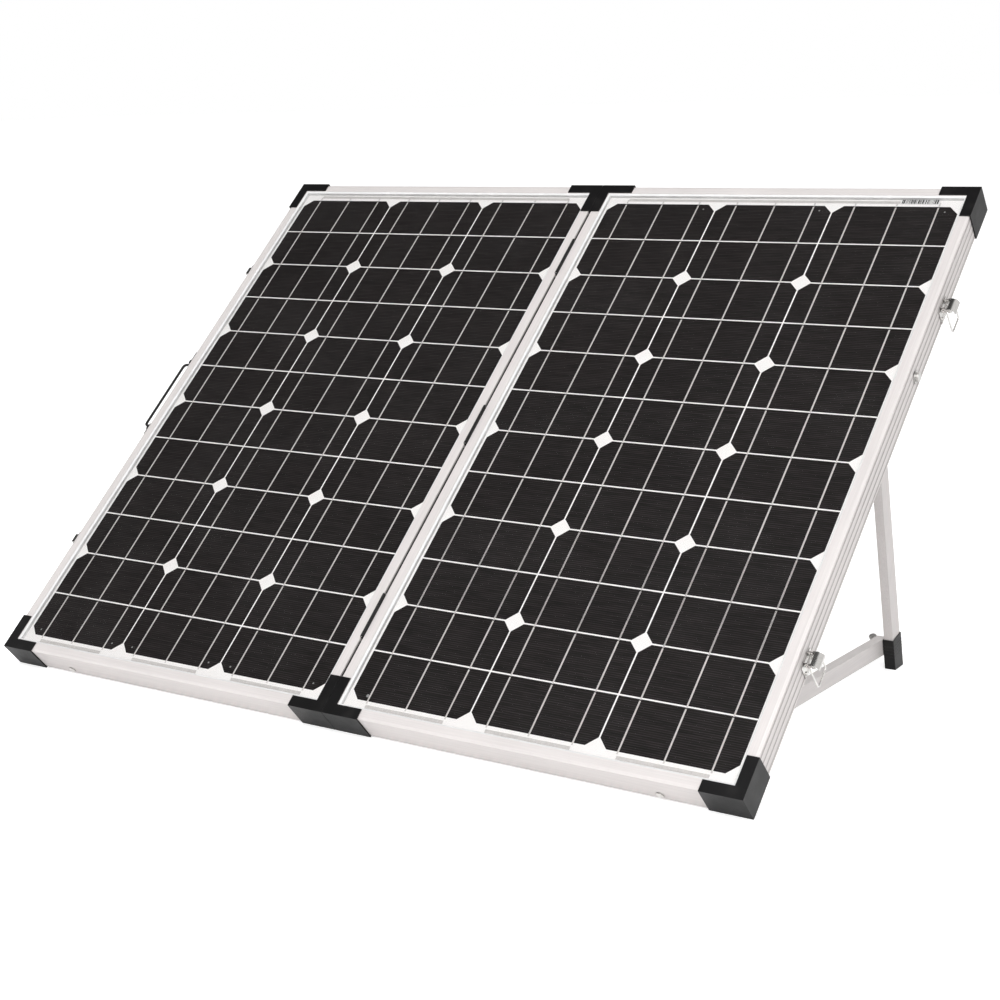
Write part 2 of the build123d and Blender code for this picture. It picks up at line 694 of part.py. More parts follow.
def junction_terminals():
    """Terminal strip with its two bypass diodes."""
    floor = LAMINATE_BACK - CASE_WALL
    strip_w, strip_l, strip_t = JUNCTION_STRIP
    strip_back = floor - strip_t
    parts = [block(MID_X - strip_w / 2, MID_X + strip_w / 2, BOX_Y - strip_l / 2,
                   BOX_Y + strip_l / 2, strip_back, floor)]
    for side in (-1, 1):
        start = MID_X + side * DIODE_OUT - DIODE_L / 2
        parts.append(rod_x(start, start + DIODE_L, BOX_Y, strip_back - DIODE_R, DIODE_R))
    return parts


def window_block(z0, z1):
    """A block the size of the display window, between two depths."""
    half_w = WINDOW_SIZE[0] / 2
    half_l = WINDOW_SIZE[1] / 2
    middle = CONTROLLER_Y + WINDOW_UP
    return block(-MID_X - half_w, -MID_X + half_w, middle - half_l, middle + half_l, z0, z1)


def button_block(x, grow, z0, z1):
    """A block the size of one button, grown on all four sides, between two depths."""
    half_w = BUTTON_SIZE[0] / 2 + grow
    half_l = BUTTON_SIZE[1] / 2 + grow
    y = CONTROLLER_Y - BUTTON_DROP
    return block(-MID_X + x - half_w, -MID_X + x + half_w, y - half_l, y + half_l, z0, z1)


def controller_cover():
    """Cover with a window opening and two button holes."""
    plate = lid(-MID_X, CONTROLLER_Y, CONTROLLER_SIZE, CASE_WALL)
    plate -= window_block(-FAR, 0)
    for x in BUTTON_X:
        plate -= button_block(x, SIDE_PLAY, -FAR, 0)
    return plate


def controller_window():
    return window_block(CONTROLLER_BACK - WINDOW_T, CONTROLLER_BACK)


def controller_board():
    """Circuit board on four posts, with its terminal block."""
    half_w = CONTROLLER_SIZE[0] / 2 - CASE_WALL - 1.0
    half_l = CONTROLLER_SIZE[1] / 2 - CASE_WALL - 1.0
    floor = LAMINATE_BACK - CASE_WALL
    board_front = floor - POST_L
    board_back = board_front - BOARD_T
    board = block(-MID_X - half_w, -MID_X + half_w, CONTROLLER_Y - half_l,
                  CONTROLLER_Y + half_l, board_back, board_front)
    for side_x in (-1, 1):
        for side_y in (-1, 1):
            board += rod_z(board_front, floor, -MID_X + side_x * (half_w - POST_IN),
                           CONTROLLER_Y + side_y * (half_l - POST_IN), POST_R)
    block_w, block_l, block_t = TERMINAL_BLOCK
    block_y = CONTROLLER_Y - half_l + 1.0
    return board + block(-MID_X - block_w / 2, -MID_X + block_w / 2, block_y,
                         block_y + block_l, board_back - block_t, board_back)


def button(x):
    """Push button a little proud of the cover, with a rim behind it."""
    foot = CONTROLLER_BACK + CASE_WALL - SIDE_PLAY
    key = button_block(x, 0, CONTROLLER_BACK - CASE_WALL - BUTTON_PROUD, foot)
    return key + button_block(x, BUTTON_RIM, CONTROLLER_BACK + RUN_PLAY, foot)


def cable(points, radius):
    """Round cable along a path with rounded bends."""
    path = FilletPolyline(*points, radius=radius * 3)
    start = Vector(*points[0])
    heading = Vector(*points[1]) - start
    section = Plane(origin=start, z_dir=heading) * Circle(radius)
    return sweep(section, path=path)


def link_cable(side):
    """The half of the panel-to-panel cable on one panel, ending at the fold plane."""
    lie = CABLE_LIE
    over = -FRAME_D - CABLE_R - SIDE_PLAY
    if side > 0:
        points = [(MID_X - LINK_X, BOX_Y - BOX_SIZE[1] / 2, lie)]
        points += [(MID_X - LINK_X, LINK_CROSS_Y, lie)]
    else:
        points = [(MID_X - CONTROLLER_SIZE[0] / 2, LINK_SIDE_Y, lie)]
        points += [(LINK_SIDE_X, LINK_SIDE_Y, lie), (LINK_SIDE_X, LINK_CROSS_Y, lie)]
    points += [(LINK_RISE_X, LINK_CROSS_Y, lie), (LINK_RISE_X, LINK_CROSS_Y, over)]
    return cable(points + [(LINK_END_X, LINK_CROSS_Y, over)], CABLE_R)


def junction_cable():
    """Lead from the left junction box to the controller."""
    top = BOX_Y - BOX_SIZE[1] / 2
    bottom = CONTROLLER_Y + CONTROLLER_SIZE[1] / 2
    return rod_y(bottom, top, -MID_X, CABLE_LIE, CABLE_R)


def output_lead():
    """Output lead below the controller with its moulded two-pole plug."""
    lie = CABLE_LIE
    top = CONTROLLER_Y - CONTROLLER_SIZE[1] / 2
    side_x = -MID_X - LEAD_SIDE
    points = [(-MID_X, top, lie), (-MID_X, LEAD_TURN_Y, lie), (side_x, LEAD_TURN_Y, lie),
              (side_x, LEAD_END_Y, lie)]
    plug_w, plug_l, plug_t = PLUG_SIZE
    front = lie + CABLE_R
    plug = block(side_x - plug_w / 2, side_x + plug_w / 2, LEAD_END_Y - plug_l, LEAD_END_Y,
                 front - plug_t, front)
    return cable(points, CABLE_R) + plug


def main():
    os.makedirs("parts", exist_ok=True)
    write_pair("long_rails", long_rails())
    write_pair("short_rails", short_rails())
    write_pair("corner_keys", corner_keys())
    write_pair("corner_caps", corner_caps())
    write_pair("glass", [sheet(GLASS_TOP, GLASS_T)])
    write_pair("encapsulant", [sheet(FILM_TOP, FILM_T)])
    write_pair("cells", cells())
    write_pair("ribbons", ribbons())
    write_pair("backsheet", [sheet(BACKSHEET_TOP, BACKSHEET_T)])
    write_pair("junction_box", [open_box(MID_X, BOX_Y, BOX_SIZE, CASE_WALL)])
    write_pair("junction_lid", [lid(MID_X, BOX_Y, BOX_SIZE, CASE_WALL)])
    write_pair("junction_terminals", junction_terminals())
    write_pair("leg", [leg()])
    write_pair("leg_foot", [leg_foot()])
    write_pair("leg_bolt", [leg_bolt()])
    write_pair("brace", [brace()])
    write_pair("brace_bracket", [brace_bracket()])
    write_pair("brace_pin", [brace_pin(), bracket_screw()])
    write_pair("wing_screw", [wing_screw()])
    write("right_link_cable", link_cable(1))
    write("left_link_cable", mirror(link_cable(-1), about=Plane.YZ))
    write("junction_cable", junction_cable())
    write("hinge_left_leaves", group([hinge_left_leaf(y) for y in HINGE_Y]))
    write("hinge_right_leaves", group([hinge_right_leaf(y) for y in HINGE_Y]))
    write("hinge_pins", group([hinge_pin(y) for y in HINGE_Y]))
    write("latch_bases", group([latch_base(y) for y in LATCH_Y]))
    write("latch_pins", group([latch_pin(y) for y in LATCH_Y]))
    for name, y in zip(("lower", "upper"), LATCH_Y):
        write(name + "_latch_lever", latch_lever(y))
        write(name + "_latch_bail", latch_bail(y))
    catches = [mirror(latch_catch(y), about=Plane.YZ) for y in LATCH_Y]
    write("latch_catches", group(catches))
    brackets = [mirror(handle_bracket(side), about=Plane.YZ) for side in (-1, 1)]
    write("handle_brackets", group(brackets))
    write("handle_grip", mirror(handle_grip(), about=Plane.YZ))
    write("controller_case", open_box(-MID_X, CONTROLLER_Y, CONTROLLER_SIZE, CASE_WALL))
    write("controller_cover", controller_cover())
    write("controller_window", controller_window())
    write("controller_board", controller_board())
    write("menu_button", button(BUTTON_X[0]))
    write("set_button", button(BUTTON_X[1]))
    write("output_lead", output_lead())


main()
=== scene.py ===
import json
import math
import random
from types import SimpleNamespace

import bmesh
import bpy
from mathutils import Matrix, Vector


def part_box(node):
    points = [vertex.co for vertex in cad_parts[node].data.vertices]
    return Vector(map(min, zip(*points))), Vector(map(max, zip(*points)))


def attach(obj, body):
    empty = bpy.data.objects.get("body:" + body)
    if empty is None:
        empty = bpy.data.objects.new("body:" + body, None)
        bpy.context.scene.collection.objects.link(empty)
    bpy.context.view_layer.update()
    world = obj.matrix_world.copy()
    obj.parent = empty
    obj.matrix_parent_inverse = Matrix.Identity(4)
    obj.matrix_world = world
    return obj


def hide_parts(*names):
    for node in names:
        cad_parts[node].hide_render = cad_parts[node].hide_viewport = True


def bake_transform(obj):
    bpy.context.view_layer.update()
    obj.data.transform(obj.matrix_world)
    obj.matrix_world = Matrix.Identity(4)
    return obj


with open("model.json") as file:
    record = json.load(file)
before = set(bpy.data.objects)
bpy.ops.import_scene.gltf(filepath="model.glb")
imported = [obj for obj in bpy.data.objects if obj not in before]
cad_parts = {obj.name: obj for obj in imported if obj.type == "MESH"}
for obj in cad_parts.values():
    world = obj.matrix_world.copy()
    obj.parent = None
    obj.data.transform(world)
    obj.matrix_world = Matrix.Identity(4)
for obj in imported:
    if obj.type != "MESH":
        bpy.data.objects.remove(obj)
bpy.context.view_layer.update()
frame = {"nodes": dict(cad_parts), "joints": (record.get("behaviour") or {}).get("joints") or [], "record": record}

# Everything is in metres. Panel coordinates run across from the fold plane (x), up the panel
# from the frame's lower edge (y) and out of the glass (z, 0 on the frame's front face).

# ---- Sizes that the frame doesn't hold ----
LIP_WIDTH = 0.0125
COLUMN_PITCH = 0.158
COLUMNS = 3
PAIR_PITCH = 0.130
PAIRS = 6
CELL_GAP = 0.002
BUSBAR_PITCH = 0.0525
BUSBAR_WIDTH = 0.0019
FINGER_PITCH = 0.0026
CABLE_RADIUS = 0.0025
WING_ANGLE = math.radians(-12)

# ---- How piece meshes are finished ----
SHARP_ANGLE = math.radians(38)
EDGE_SEGMENTS = 3

# ---- Camera ----
CAMERA_PLACE = Vector((1.1995, -1.7632, 0.6913))
CAMERA_AZIMUTH = math.radians(-33.67)
CAMERA_ELEVATION = math.radians(-13.0)
CAMERA_ROLL = math.radians(-1.76)
CAMERA_LENS = 63.9
SENSOR_WIDTH = 36.0

# ---- Studio ----
FLOOR_REACH = 60.0
LIGHT_AIM = Vector((0, 0, 0.25))
ROOM_LEVEL = 0.70
DARK_CARD_LEVEL = 0.05
DARK_CARD_OUTER = 0.57
DARK_CARD_INNER = 0.87
FLOOR_GLOW = 0.45
LIGHTS = [
    ("key", (2.4, -2.8, 2.0), 2.2, 60.0),
    ("front", (0.5, -2.3, 2.8), 1.8, 56.0),
    ("fill", (-3.0, -1.4, 1.2), 2.0, 8.0),
    ("rim", (0.6, 3.0, 2.4), 2.2, 20.0),
]

rng = random.Random(7)


# ---- Where the panel lies ----
def panel_matrix():
    """Panel coordinates to the row frame, from the buttons' travel and the rail's box."""
    press = next(j for j in frame["joints"] if j["name"] == "menu_press")
    normal = Vector(press["axis"]).normalized()
    up = normal.cross(Vector((1, 0, 0))).normalized()
    low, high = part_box("right_long_rails")
    sin_t = up.z
    cos_t = up.y
    rise = high.z - low.z
    run = high.y - low.y
    length = (rise * sin_t - run * cos_t) / (sin_t ** 2 - cos_t ** 2)
    depth = (rise - length * sin_t) / cos_t
    origin = Vector((0, low.y, low.z + depth * cos_t))
    matrix = Matrix.Translation(origin) @ Matrix((
        (1, 0, 0), (0, up.y, normal.y), (0, up.z, normal.z))).to_4x4()
    return matrix, math.atan2(sin_t, cos_t), normal


TO_ROW, TILT, GLASS_NORMAL = panel_matrix()
FROM_ROW = TO_ROW.inverted()
FACE_LEVEL = (Matrix.Rotation(-TILT, 3, "X") @ TO_ROW.translation).z


def local_box(node):
    """A CAD node's box in panel coordinates."""
    mesh = frame["nodes"][node].data
    points = [FROM_ROW @ v.co for v in mesh.vertices]
    low = Vector([min(p[k] for p in points) for k in range(3)])
    high = Vector([max(p[k] for p in points) for k in range(3)])
    return low, high


def joint_place(name):
    """A joint's position in panel coordinates."""
    joint = next(j for j in frame["joints"] if j["name"] == name)
    return FROM_ROW @ Vector(joint["pos_m"])


# ---- Material building ----
class Graph:
    """A material's or world's node tree, with short calls for the nodes used below."""

    def __init__(self, name, world=False):
        library = bpy.data.worlds if world else bpy.data.materials
        self.owner = library.new(name)
        self.owner.use_nodes = True
        self.nodes = self.owner.node_tree.nodes
        self.links = self.owner.node_tree.links
        self.nodes.clear()
        self.output = self.nodes.new("ShaderNodeOutputWorld" if world
                                     else "ShaderNodeOutputMaterial")

    def add(self, kind, inputs=None, **settings):
        node = self.nodes.new("ShaderNode" + kind)
        for key, value in settings.items():
            setattr(node, key, value)
        for key, value in (inputs or {}).items():
            self.put(node.inputs[key], value)
        return node

    def put(self, socket, value):
        if isinstance(value, bpy.types.NodeSocket):
            self.links.new(value, socket)
        else:
            socket.default_value = value

    def finish(self, shader):
        self.links.new(shader, self.output.inputs[0])
        return self.owner

    def coordinates(self, scale=(1, 1, 1), turn=None):
        """Panel-aligned coordinates in metres, stretched by scale."""
        source = self.add("TexCoord").outputs["Object"]
        turned = self.add("Mapping", {"Vector": source,
                                      "Rotation": (-TILT if turn is None else turn, 0, 0)})
        scaled = self.add("VectorMath", {0: turned.outputs[0], 1: scale}, operation="MULTIPLY")
        return scaled.outputs[0]

    def noise(self, vector, scale, detail=3.0, roughness=0.55):
        node = self.add("TexNoise", {"Vector": vector, "Scale": scale, "Detail": detail,
                                     "Roughness": roughness})
        return node.outputs[0]

    def math(self, operation, a, b=0.0):
        return self.add("Math", {0: a, 1: b}, operation=operation).outputs[0]

    def remap(self, value, from_low, from_high, to_low, to_high, smooth=False):
        node = self.add("MapRange", {0: value, 1: from_low, 2: from_high, 3: to_low, 4: to_high},
                        interpolation_type="SMOOTHSTEP" if smooth else "LINEAR")
        return node.outputs[0]

    def mix(self, factor, a, b):
        node = self.add("Mix", data_type="RGBA")
        self.put(node.inputs[0], factor)
        self.put(node.inputs[6], a)
        self.put(node.inputs[7], b)
        return node.outputs[2]

    def tinted(self, tone, green=0.995, blue=0.99):
        """A near-grey colour from one tone."""
        return self.add("CombineColor", {0: tone, 1: self.math("MULTIPLY", tone, green),
                                         2: self.math("MULTIPLY", tone, blue)}).outputs[0]

    def crevice(self, distance):
        """Ambient occlusion for painted shade: 1 in the open, falling towards 0 in grooves and inner corners."""
        return self.add("AmbientOcclusion", {"Distance": distance}, samples=6).outputs["AO"]

    def worn_edge(self, radius):
        """1 on sharp edges, 0 on flat faces."""
        flat = self.add("NewGeometry").outputs["Normal"]
        soft = self.add("Bevel", {"Radius": radius}, samples=4).outputs[0]
        facing = self.add("VectorMath", {0: flat, 1: soft}, operation="DOT_PRODUCT")
        return self.remap(facing.outputs["Value"], 0.995, 0.93, 0.0, 1.0)

    def bump(self, height, distance, strength=1.0, bevel=None):
        inputs = {"Height": height, "Distance": distance, "Strength": strength}
        if bevel:
            inputs["Normal"] = self.add("Bevel", {"Radius": bevel}, samples=4).outputs[0]
        return self.add("Bump", inputs).outputs[0]

    def surface(self, colour, roughness, metallic=0.0, normal=None, **extra):
        shader = self.add("BsdfPrincipled", {"Base Color": colour, "Roughness": roughness,
                                             "Metallic": metallic})
        for key, value in extra.items():
            self.put(shader.inputs[key.replace("_", " ")], value)
        if normal is not None:
            self.put(shader.inputs["Normal"], normal)
        return self.finish(shader.outputs[0])


def grey(level):
    return (level, level, level, 1.0)


def anodised(name, stretch, turn=None, level=0.64):
    """Satin anodised extrusion: fine draw lines, soft handling marks, painted shade in the grooves."""
    g = Graph(name)
    where = g.coordinates(turn=turn)
    lines = g.noise(g.coordinates(stretch, turn), 900.0, 2.0)
    clouds = g.noise(where, 9.0, 4.0)
    scuffs = g.noise(g.coordinates((3, 1, 3), turn), 60.0, 6.0, 0.7)
    marks = g.remap(scuffs, 0.66, 0.74, 0.0, 0.25)
    tone = g.math("ADD", g.remap(lines, 0.3, 0.7, -0.03, 0.03),
                  g.remap(clouds, 0.3, 0.7, level - 0.015, level + 0.015))
    worn = g.mix(marks, g.tinted(tone, 0.945, 0.93), grey(level * 0.75))
    # Painted shade: ambient occlusion darkens grooves, inner corners and the lip's inner faces.
    groove_shade = g.remap(g.crevice(0.0025), 0.35, 0.95, 0.75, 0.0)
    # The painted shade is cut to a fifth within about 2 to 3 mm of the frame's front face, on the lip's inner
    # faces.
    if turn is None:
        above = g.add("SeparateXYZ", {0: where}).outputs[2]
        below_lip = g.remap(above, FACE_LEVEL - 0.0034, FACE_LEVEL - 0.0022, 1.0, 0.2)
        groove_shade = g.math("MULTIPLY", groove_shade, below_lip)
    # Mixes in the painted shade's colour (0.20, 0.19, 0.185).
    colour = g.mix(groove_shade, worn, (0.20, 0.19, 0.185, 1))
    rough = g.math("ADD", g.remap(clouds, 0.3, 0.7, 0.36, 0.46), g.math("MULTIPLY", marks, 0.4))
    return g.surface(colour, rough, 0.13, g.bump(lines, 0.00004, 0.5, bevel=0.0004))


def moulded(name, level=0.006, rough=0.36, grain=1400.0, bevel=0.0005):
    """Black moulding: fine leathery grain, dust in patches, paler rubbed edges."""
    g = Graph(name)
    where = g.coordinates()
    cells = g.add("TexVoronoi", {"Vector": where, "Scale": grain}).outputs[0]
    cloud = g.noise(where, 38.0, 5.0)
    dust = g.remap(cloud, 0.55, 0.80, 0.0, 0.12)
    dusty = g.mix(dust, (level, level * 0.95, level, 1), (0.07, 0.065, 0.06, 1))
    edge = g.math("MULTIPLY", g.worn_edge(bevel * 1.6), g.remap(cloud, 0.4, 0.7, 0.15, 0.6))
    colour = g.mix(edge, dusty, grey(0.045))
    roughness = g.remap(cloud, 0.3, 0.7, rough - 0.05, rough + 0.08)
    return g.surface(colour, roughness, 0.0, g.bump(cells, 0.0001, 0.4, bevel=bevel),
                     Specular_IOR_Level=0.28)


def steel(name, level=0.55, rough=0.22, metallic=1.0):
    """Bright fastener steel with brushed lines, small stains and painted shade in its crevices."""
    g = Graph(name)
    lines = g.noise(g.coordinates((1, 14, 1)), 500.0, 2.0)
    cloud = g.noise(g.coordinates(), 160.0, 4.0)
    tone = g.remap(cloud, 0.3, 0.7, level - 0.06, level + 0.06)
    # Painted shade: ambient occlusion darkens crevices towards near black.
    shade = g.remap(g.crevice(0.003), 0.3, 0.95, 0.75, 0.0)
    colour = g.mix(shade, g.tinted(tone, 0.985, 0.96), (0.03, 0.028, 0.026, 1))
    roughness = g.remap(lines, 0.3, 0.7, rough - 0.06, rough + 0.08)
    return g.surface(colour, roughness, metallic, g.bump(lines, 0.00003, 0.5, bevel=0.0003))


def glass_sheet(name):
    """Low-iron solar glass: nearly clear, soft reflection, faint rolled texture and dust."""
    g = Graph(name)
    where = g.coordinates()
    rolled = g.noise(where, 240.0, 2.0)
    dust = g.noise(where, 11.0, 6.0, 0.6)
    normal = g.bump(rolled, 0.00002, 0.12)
    fresnel = g.add("Fresnel", {"IOR": 1.3, "Normal": normal}).outputs[0]
    clear = g.add("BsdfTransparent", {"Color": (0.992, 0.986, 0.987, 1)}).outputs[0]
    haze = g.add("BsdfDiffuse", {"Color": grey(0.75)}).outputs[0]
    shine = g.add("BsdfGlossy", {"Color": grey(0.9), "Roughness": 0.16,
                                 "Normal": normal}).outputs[0]
    amount = g.remap(dust, 0.45, 0.85, 0.001, 0.008)
    body = g.add("MixShader", {0: amount, 1: clear, 2: haze}).outputs[0]
    mixed = g.add("MixShader", {0: g.math("MULTIPLY", fresnel, 0.8), 1: body, 2: shine})
    return g.finish(mixed.outputs[0])


def clear_film(name):
    """Cured encapsulant: clear, with a trace of cloudiness."""
    g = Graph(name)
    cloud = g.noise(g.coordinates(), 25.0, 3.0)
    tint = g.mix(cloud, (0.99, 0.99, 0.985, 1), (1, 1, 1, 1))
    return g.finish(g.add("BsdfTransparent", {"Color": tint}).outputs[0])


def silicon(name):
    """Near-black mono cells: printed finger lines, streaky etch, a tone shift per cell."""
    g = Graph(name)
    where = g.coordinates()
    split = g.add("SeparateXYZ", {0: where})
    across = split.outputs[0]
    up = split.outputs[1]
    finger = g.math("PINGPONG", up, FINGER_PITCH / 2)
    line = g.remap(finger, 0.00010, 0.00034, 1.0, 0.0)
    streaks = g.noise(g.coordinates((0.07, 1, 1)), 420.0, 3.0, 0.6)
    column = g.math("FLOOR", g.math("DIVIDE", across, COLUMN_PITCH))
    row = g.math("FLOOR", g.math("DIVIDE", up, PAIR_PITCH / 2))
    seed = g.add("CombineXYZ", {0: column, 1: row})
    shade = g.add("TexWhiteNoise", {"Vector": seed.outputs[0]}).outputs[0]
    tone = g.math("MULTIPLY", g.remap(shade, 0.0, 1.0, 0.0082, 0.0098),
                  g.remap(streaks, 0.3, 0.7, 0.6, 1.5))
    strength = g.remap(streaks, 0.35, 0.65, 0.25, 0.75)
    printed = g.mix(g.math("MULTIPLY", line, strength), g.tinted(tone, 0.78, 0.76),
                    (0.075, 0.070, 0.072, 1))
    return g.surface(printed, 0.5, 0.0, g.bump(line, 0.00002, 0.3), Specular_IOR_Level=0.2)


def ribbon_metal(name):
    """Tinned copper ribbon, slightly uneven solder."""
    g = Graph(name)
    level = 0.66
    solder = g.noise(g.coordinates((1, 0.25, 1)), 900.0, 4.0)
    tone = g.remap(solder, 0.3, 0.7, level - 0.06, level + 0.06)
    return g.surface(g.tinted(tone, 0.975, 0.955), 0.42, 0.15, g.bump(solder, 0.00003, 0.6))


def white_film(name):
    """White polymer backsheet with its faint woven emboss and light yellowing."""
    g = Graph(name)
    where = g.coordinates()
    split = g.add("SeparateXYZ", {0: where})
    weave = g.math("ADD", g.math("PINGPONG", split.outputs[0], 0.0006),
                   g.math("PINGPONG", split.outputs[1], 0.0006))
    cloud = g.noise(where, 6.0, 4.0)
    colour = g.mix(cloud, (0.95, 0.94, 0.935, 1), (0.90, 0.89, 0.88, 1))
    return g.surface(colour, 0.5, 0.0, g.bump(weave, 0.05, 0.08))


def rubber(name, level=0.02, rough=0.6):
    """Cable jacket, seal rubber and the near-black strips of painted shade in the fold gap, with a faint bloom."""
    g = Graph(name)
    bloom = g.noise(g.coordinates(), 70.0, 5.0)
    colour = g.mix(g.remap(bloom, 0.5, 0.8, 0.0, 0.3), grey(level), grey(level * 1.4 + 0.02))
    return g.surface(colour, g.remap(bloom, 0.3, 0.7, rough - 0.08, rough + 0.1), 0.0,
                     g.bump(bloom, 0.0001, 0.3))


def circuit(name):
    """Green solder mask with tracks showing through."""
    g = Graph(name)
    where = g.coordinates()
    tracks = g.add("TexVoronoi", {"Vector": where, "Scale": 220.0}, distance="MANHATTAN",
                   feature="F1").outputs[0]
    colour = g.mix(g.remap(tracks, 0.1, 0.25, 0.0, 1.0), (0.02, 0.2, 0.07, 1),
                   (0.01, 0.12, 0.045, 1))
    return g.surface(colour, 0.3, 0.0, g.bump(tracks, 0.0001, 0.4))


def window_plastic(name):
    """Clear acrylic over the display."""
    g = Graph(name)
    scratch = g.noise(g.coordinates((1, 9, 1)), 400.0, 3.0)
    clear = g.add("BsdfTransparent", {"Color": (0.93, 0.96, 0.93, 1)}).outputs[0]
    shine = g.add("BsdfGlossy", {"Color": grey(0.9),
                                 "Roughness": g.remap(scratch, 0.3, 0.7, 0.03, 0.12)}).outputs[0]
    fresnel = g.add("Fresnel", {"IOR": 1.45}).outputs[0]
    return g.finish(g.add("MixShader", {0: fresnel, 1: clear, 2: shine}).outputs[0])


def plain_paint(name, colour, rough=0.5, glow=0.0):
    """Printed or painted detail with slight unevenness."""
    g = Graph(name)
    cloud = g.noise(g.coordinates(), 120.0, 4.0)
    darker = tuple(c * 0.9 for c in colour[:3]) + (1,)
    extra = {"Emission_Color": colour, "Emission_Strength": glow} if glow else {}
    return g.surface(g.mix(cloud, colour, darker), rough, 0.0, g.bump(cloud, 0.00005, 0.2),
                     **extra)


RECIPES = {
    "long_aluminium": (anodised, (1, 0.01, 1)),
    "short_aluminium": (anodised, (0.01, 1, 1)),
    "leg_aluminium": (anodised, (1, 1, 0.01), 0.25, 0.60),
    "brace_aluminium": (anodised, (1, 0.01, 1), 0.0, 0.62),
    "cast_keys": (steel, 0.5, 0.5),
    "black_moulding": (moulded,),
    "box_plastic": (moulded, 0.012, 0.5, 900.0, 0.001),
    "handle_plastic": (moulded, 0.010, 0.5, 700.0, 0.001),
    "button_rubber": (rubber, 0.22, 0.5),
    "cable_jacket": (rubber, 0.012),
    "solar_glass": (glass_sheet,),
    "clear_film": (clear_film,),
    "solar_cells": (silicon,),
    "tinned_ribbon": (ribbon_metal,),
    "white_backsheet": (white_film,),
    "stainless": (steel, 0.82, 0.16),
    "plated_steel": (steel, 0.78, 0.3),
    "hinge_coating": (moulded, 0.012, 0.38, 2200.0, 0.0003),
    "terminals": (moulded, 0.05, 0.4),
    "circuit_board": (circuit,),
    "window_plastic": (window_plastic,),
    # Near-black strips in the fold gap, which stand in for the shadow there: painted shade.
    "foam": (rubber, 0.010, 0.85),
    "seal": (rubber, 0.66, 0.55),
    "print_black": (plain_paint, grey(0.015), 0.6),
    "print_white": (plain_paint, grey(0.80), 0.55),
    "display": (plain_paint, (0.35, 0.42, 0.28, 1), 0.4, 0.15),
    "lamp_green": (plain_paint, (0.05, 0.6, 0.1, 1), 0.3, 0.6),
    "lamp_red": (plain_paint, (0.5, 0.03, 0.02, 1), 0.3, 0.2),
    "solder_dot": (plain_paint, grey(0.3), 0.5),
}
MATERIALS = {name: make(name, *settings) for name, (make, *settings) in RECIPES.items()}


def dress_nodes():
    """Gives every CAD node its material, by the record's slot and the rails' direction."""
    slots = {s["node"]: s["material_slot"] for s in frame["record"]["subparts"]}
    special = {"long_rails": "long_aluminium", "short_rails": "short_aluminium",
               "leg": "leg_aluminium", "brace": "brace_aluminium"}
    for name, node in frame["nodes"].items():
        base = name.replace("left_", "").replace("right_", "")
        node.data.materials.clear()
        node.data.materials.append(MATERIALS[special.get(base, slots[name])])


# ---- Mesh building ----
def new_piece(name, bm, material, body=None, smooth=False, bevel=0.0, stands_for=()):
    """Turns a bmesh in panel coordinates into a piece that rides on a body.

    With stands_for, the CAD nodes it stands for are hidden; the piece takes the material it is given.
    """
    mesh = bpy.data.meshes.new(name)
    bm.transform(TO_ROW)
    bmesh.ops.recalc_face_normals(bm, faces=bm.faces)
    bm.to_mesh(mesh)
    bm.free()
    obj = bpy.data.objects.new(name, mesh)
    bpy.context.scene.collection.objects.link(obj)
    mesh.materials.append(MATERIALS[material])
    if smooth:
        mesh.polygons.foreach_set("use_smooth", [True] * len(mesh.polygons))
        mesh.set_sharp_from_angle(angle=SHARP_ANGLE)
    if bevel:
        modifier = obj.modifiers.new("edge", "BEVEL")
        modifier.width = bevel
        modifier.segments = EDGE_SEGMENTS
        modifier.limit_method = "ANGLE"
    if body:
        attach(obj, body)
    if stands_for:
        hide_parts(*stands_for)
    return obj


def add_skin(bm, loops, closed=False):
    """Faces from each loop of vertices to the next, closed round or with a cap at each end."""
    followers = loops[1:] + loops[:1] if closed else loops[1:]
    for low, high in zip(loops, followers):
        for k in range(len(low)):
            n = (k + 1) % len(low)
            bm.faces.new((low[k], low[n], high[n], high[k]))
    if not closed:
        bm.faces.new(loops[0][::-1])
        bm.faces.new(loops[-1])


def add_box(bm, low, high, soft=0.0):
    """A closed box between two corners, its edges rounded by soft."""
    size = Vector(high) - Vector(low)
    middle = (Vector(high) + Vector(low)) / 2
    matrix = Matrix.Translation(middle) @ Matrix.Diagonal((*size, 1))
    made = bmesh.ops.create_cube(bm, size=1.0, matrix=matrix)
    if soft:
        edges = list({edge for vertex in made["verts"] for edge in vertex.link_edges})
        bmesh.ops.bevel(bm, geom=edges, offset=soft, segments=EDGE_SEGMENTS, profile=0.5,
                        affect="EDGES")


def add_disc(bm, centre, normal, radius, height, sides=24, top_share=1.0):
    """A closed round boss standing on centre along normal."""
    normal = Vector(normal).normalized()
    turn = normal.to_track_quat("Z", "Y").to_matrix().to_4x4()
    middle = Vector(centre) + normal * height / 2
    bmesh.ops.create_cone(bm, cap_ends=True, segments=sides, radius1=radius,
                          radius2=radius * top_share, depth=height,
                          matrix=Matrix.Translation(middle) @ turn)


def add_dome(bm, centre, normal, radius, height, rings=4, sides=20):
    """A rivet or screw head: a closed low dome standing on centre along normal."""
    normal = Vector(normal).normalized()
    side = normal.orthogonal().normalized()
    other = normal.cross(side)
    loops = []
    for k in range(rings):
        angle = math.pi / 2 * k / rings
        ring_radius = radius * math.cos(angle)
        middle = Vector(centre) + normal * height * math.sin(angle)
        loops.append([bm.verts.new(middle + (side * math.cos(a) + other * math.sin(a))
                                   * ring_radius)
                      for a in (2 * math.pi * n / sides for n in range(sides))])
    add_skin(bm, loops)


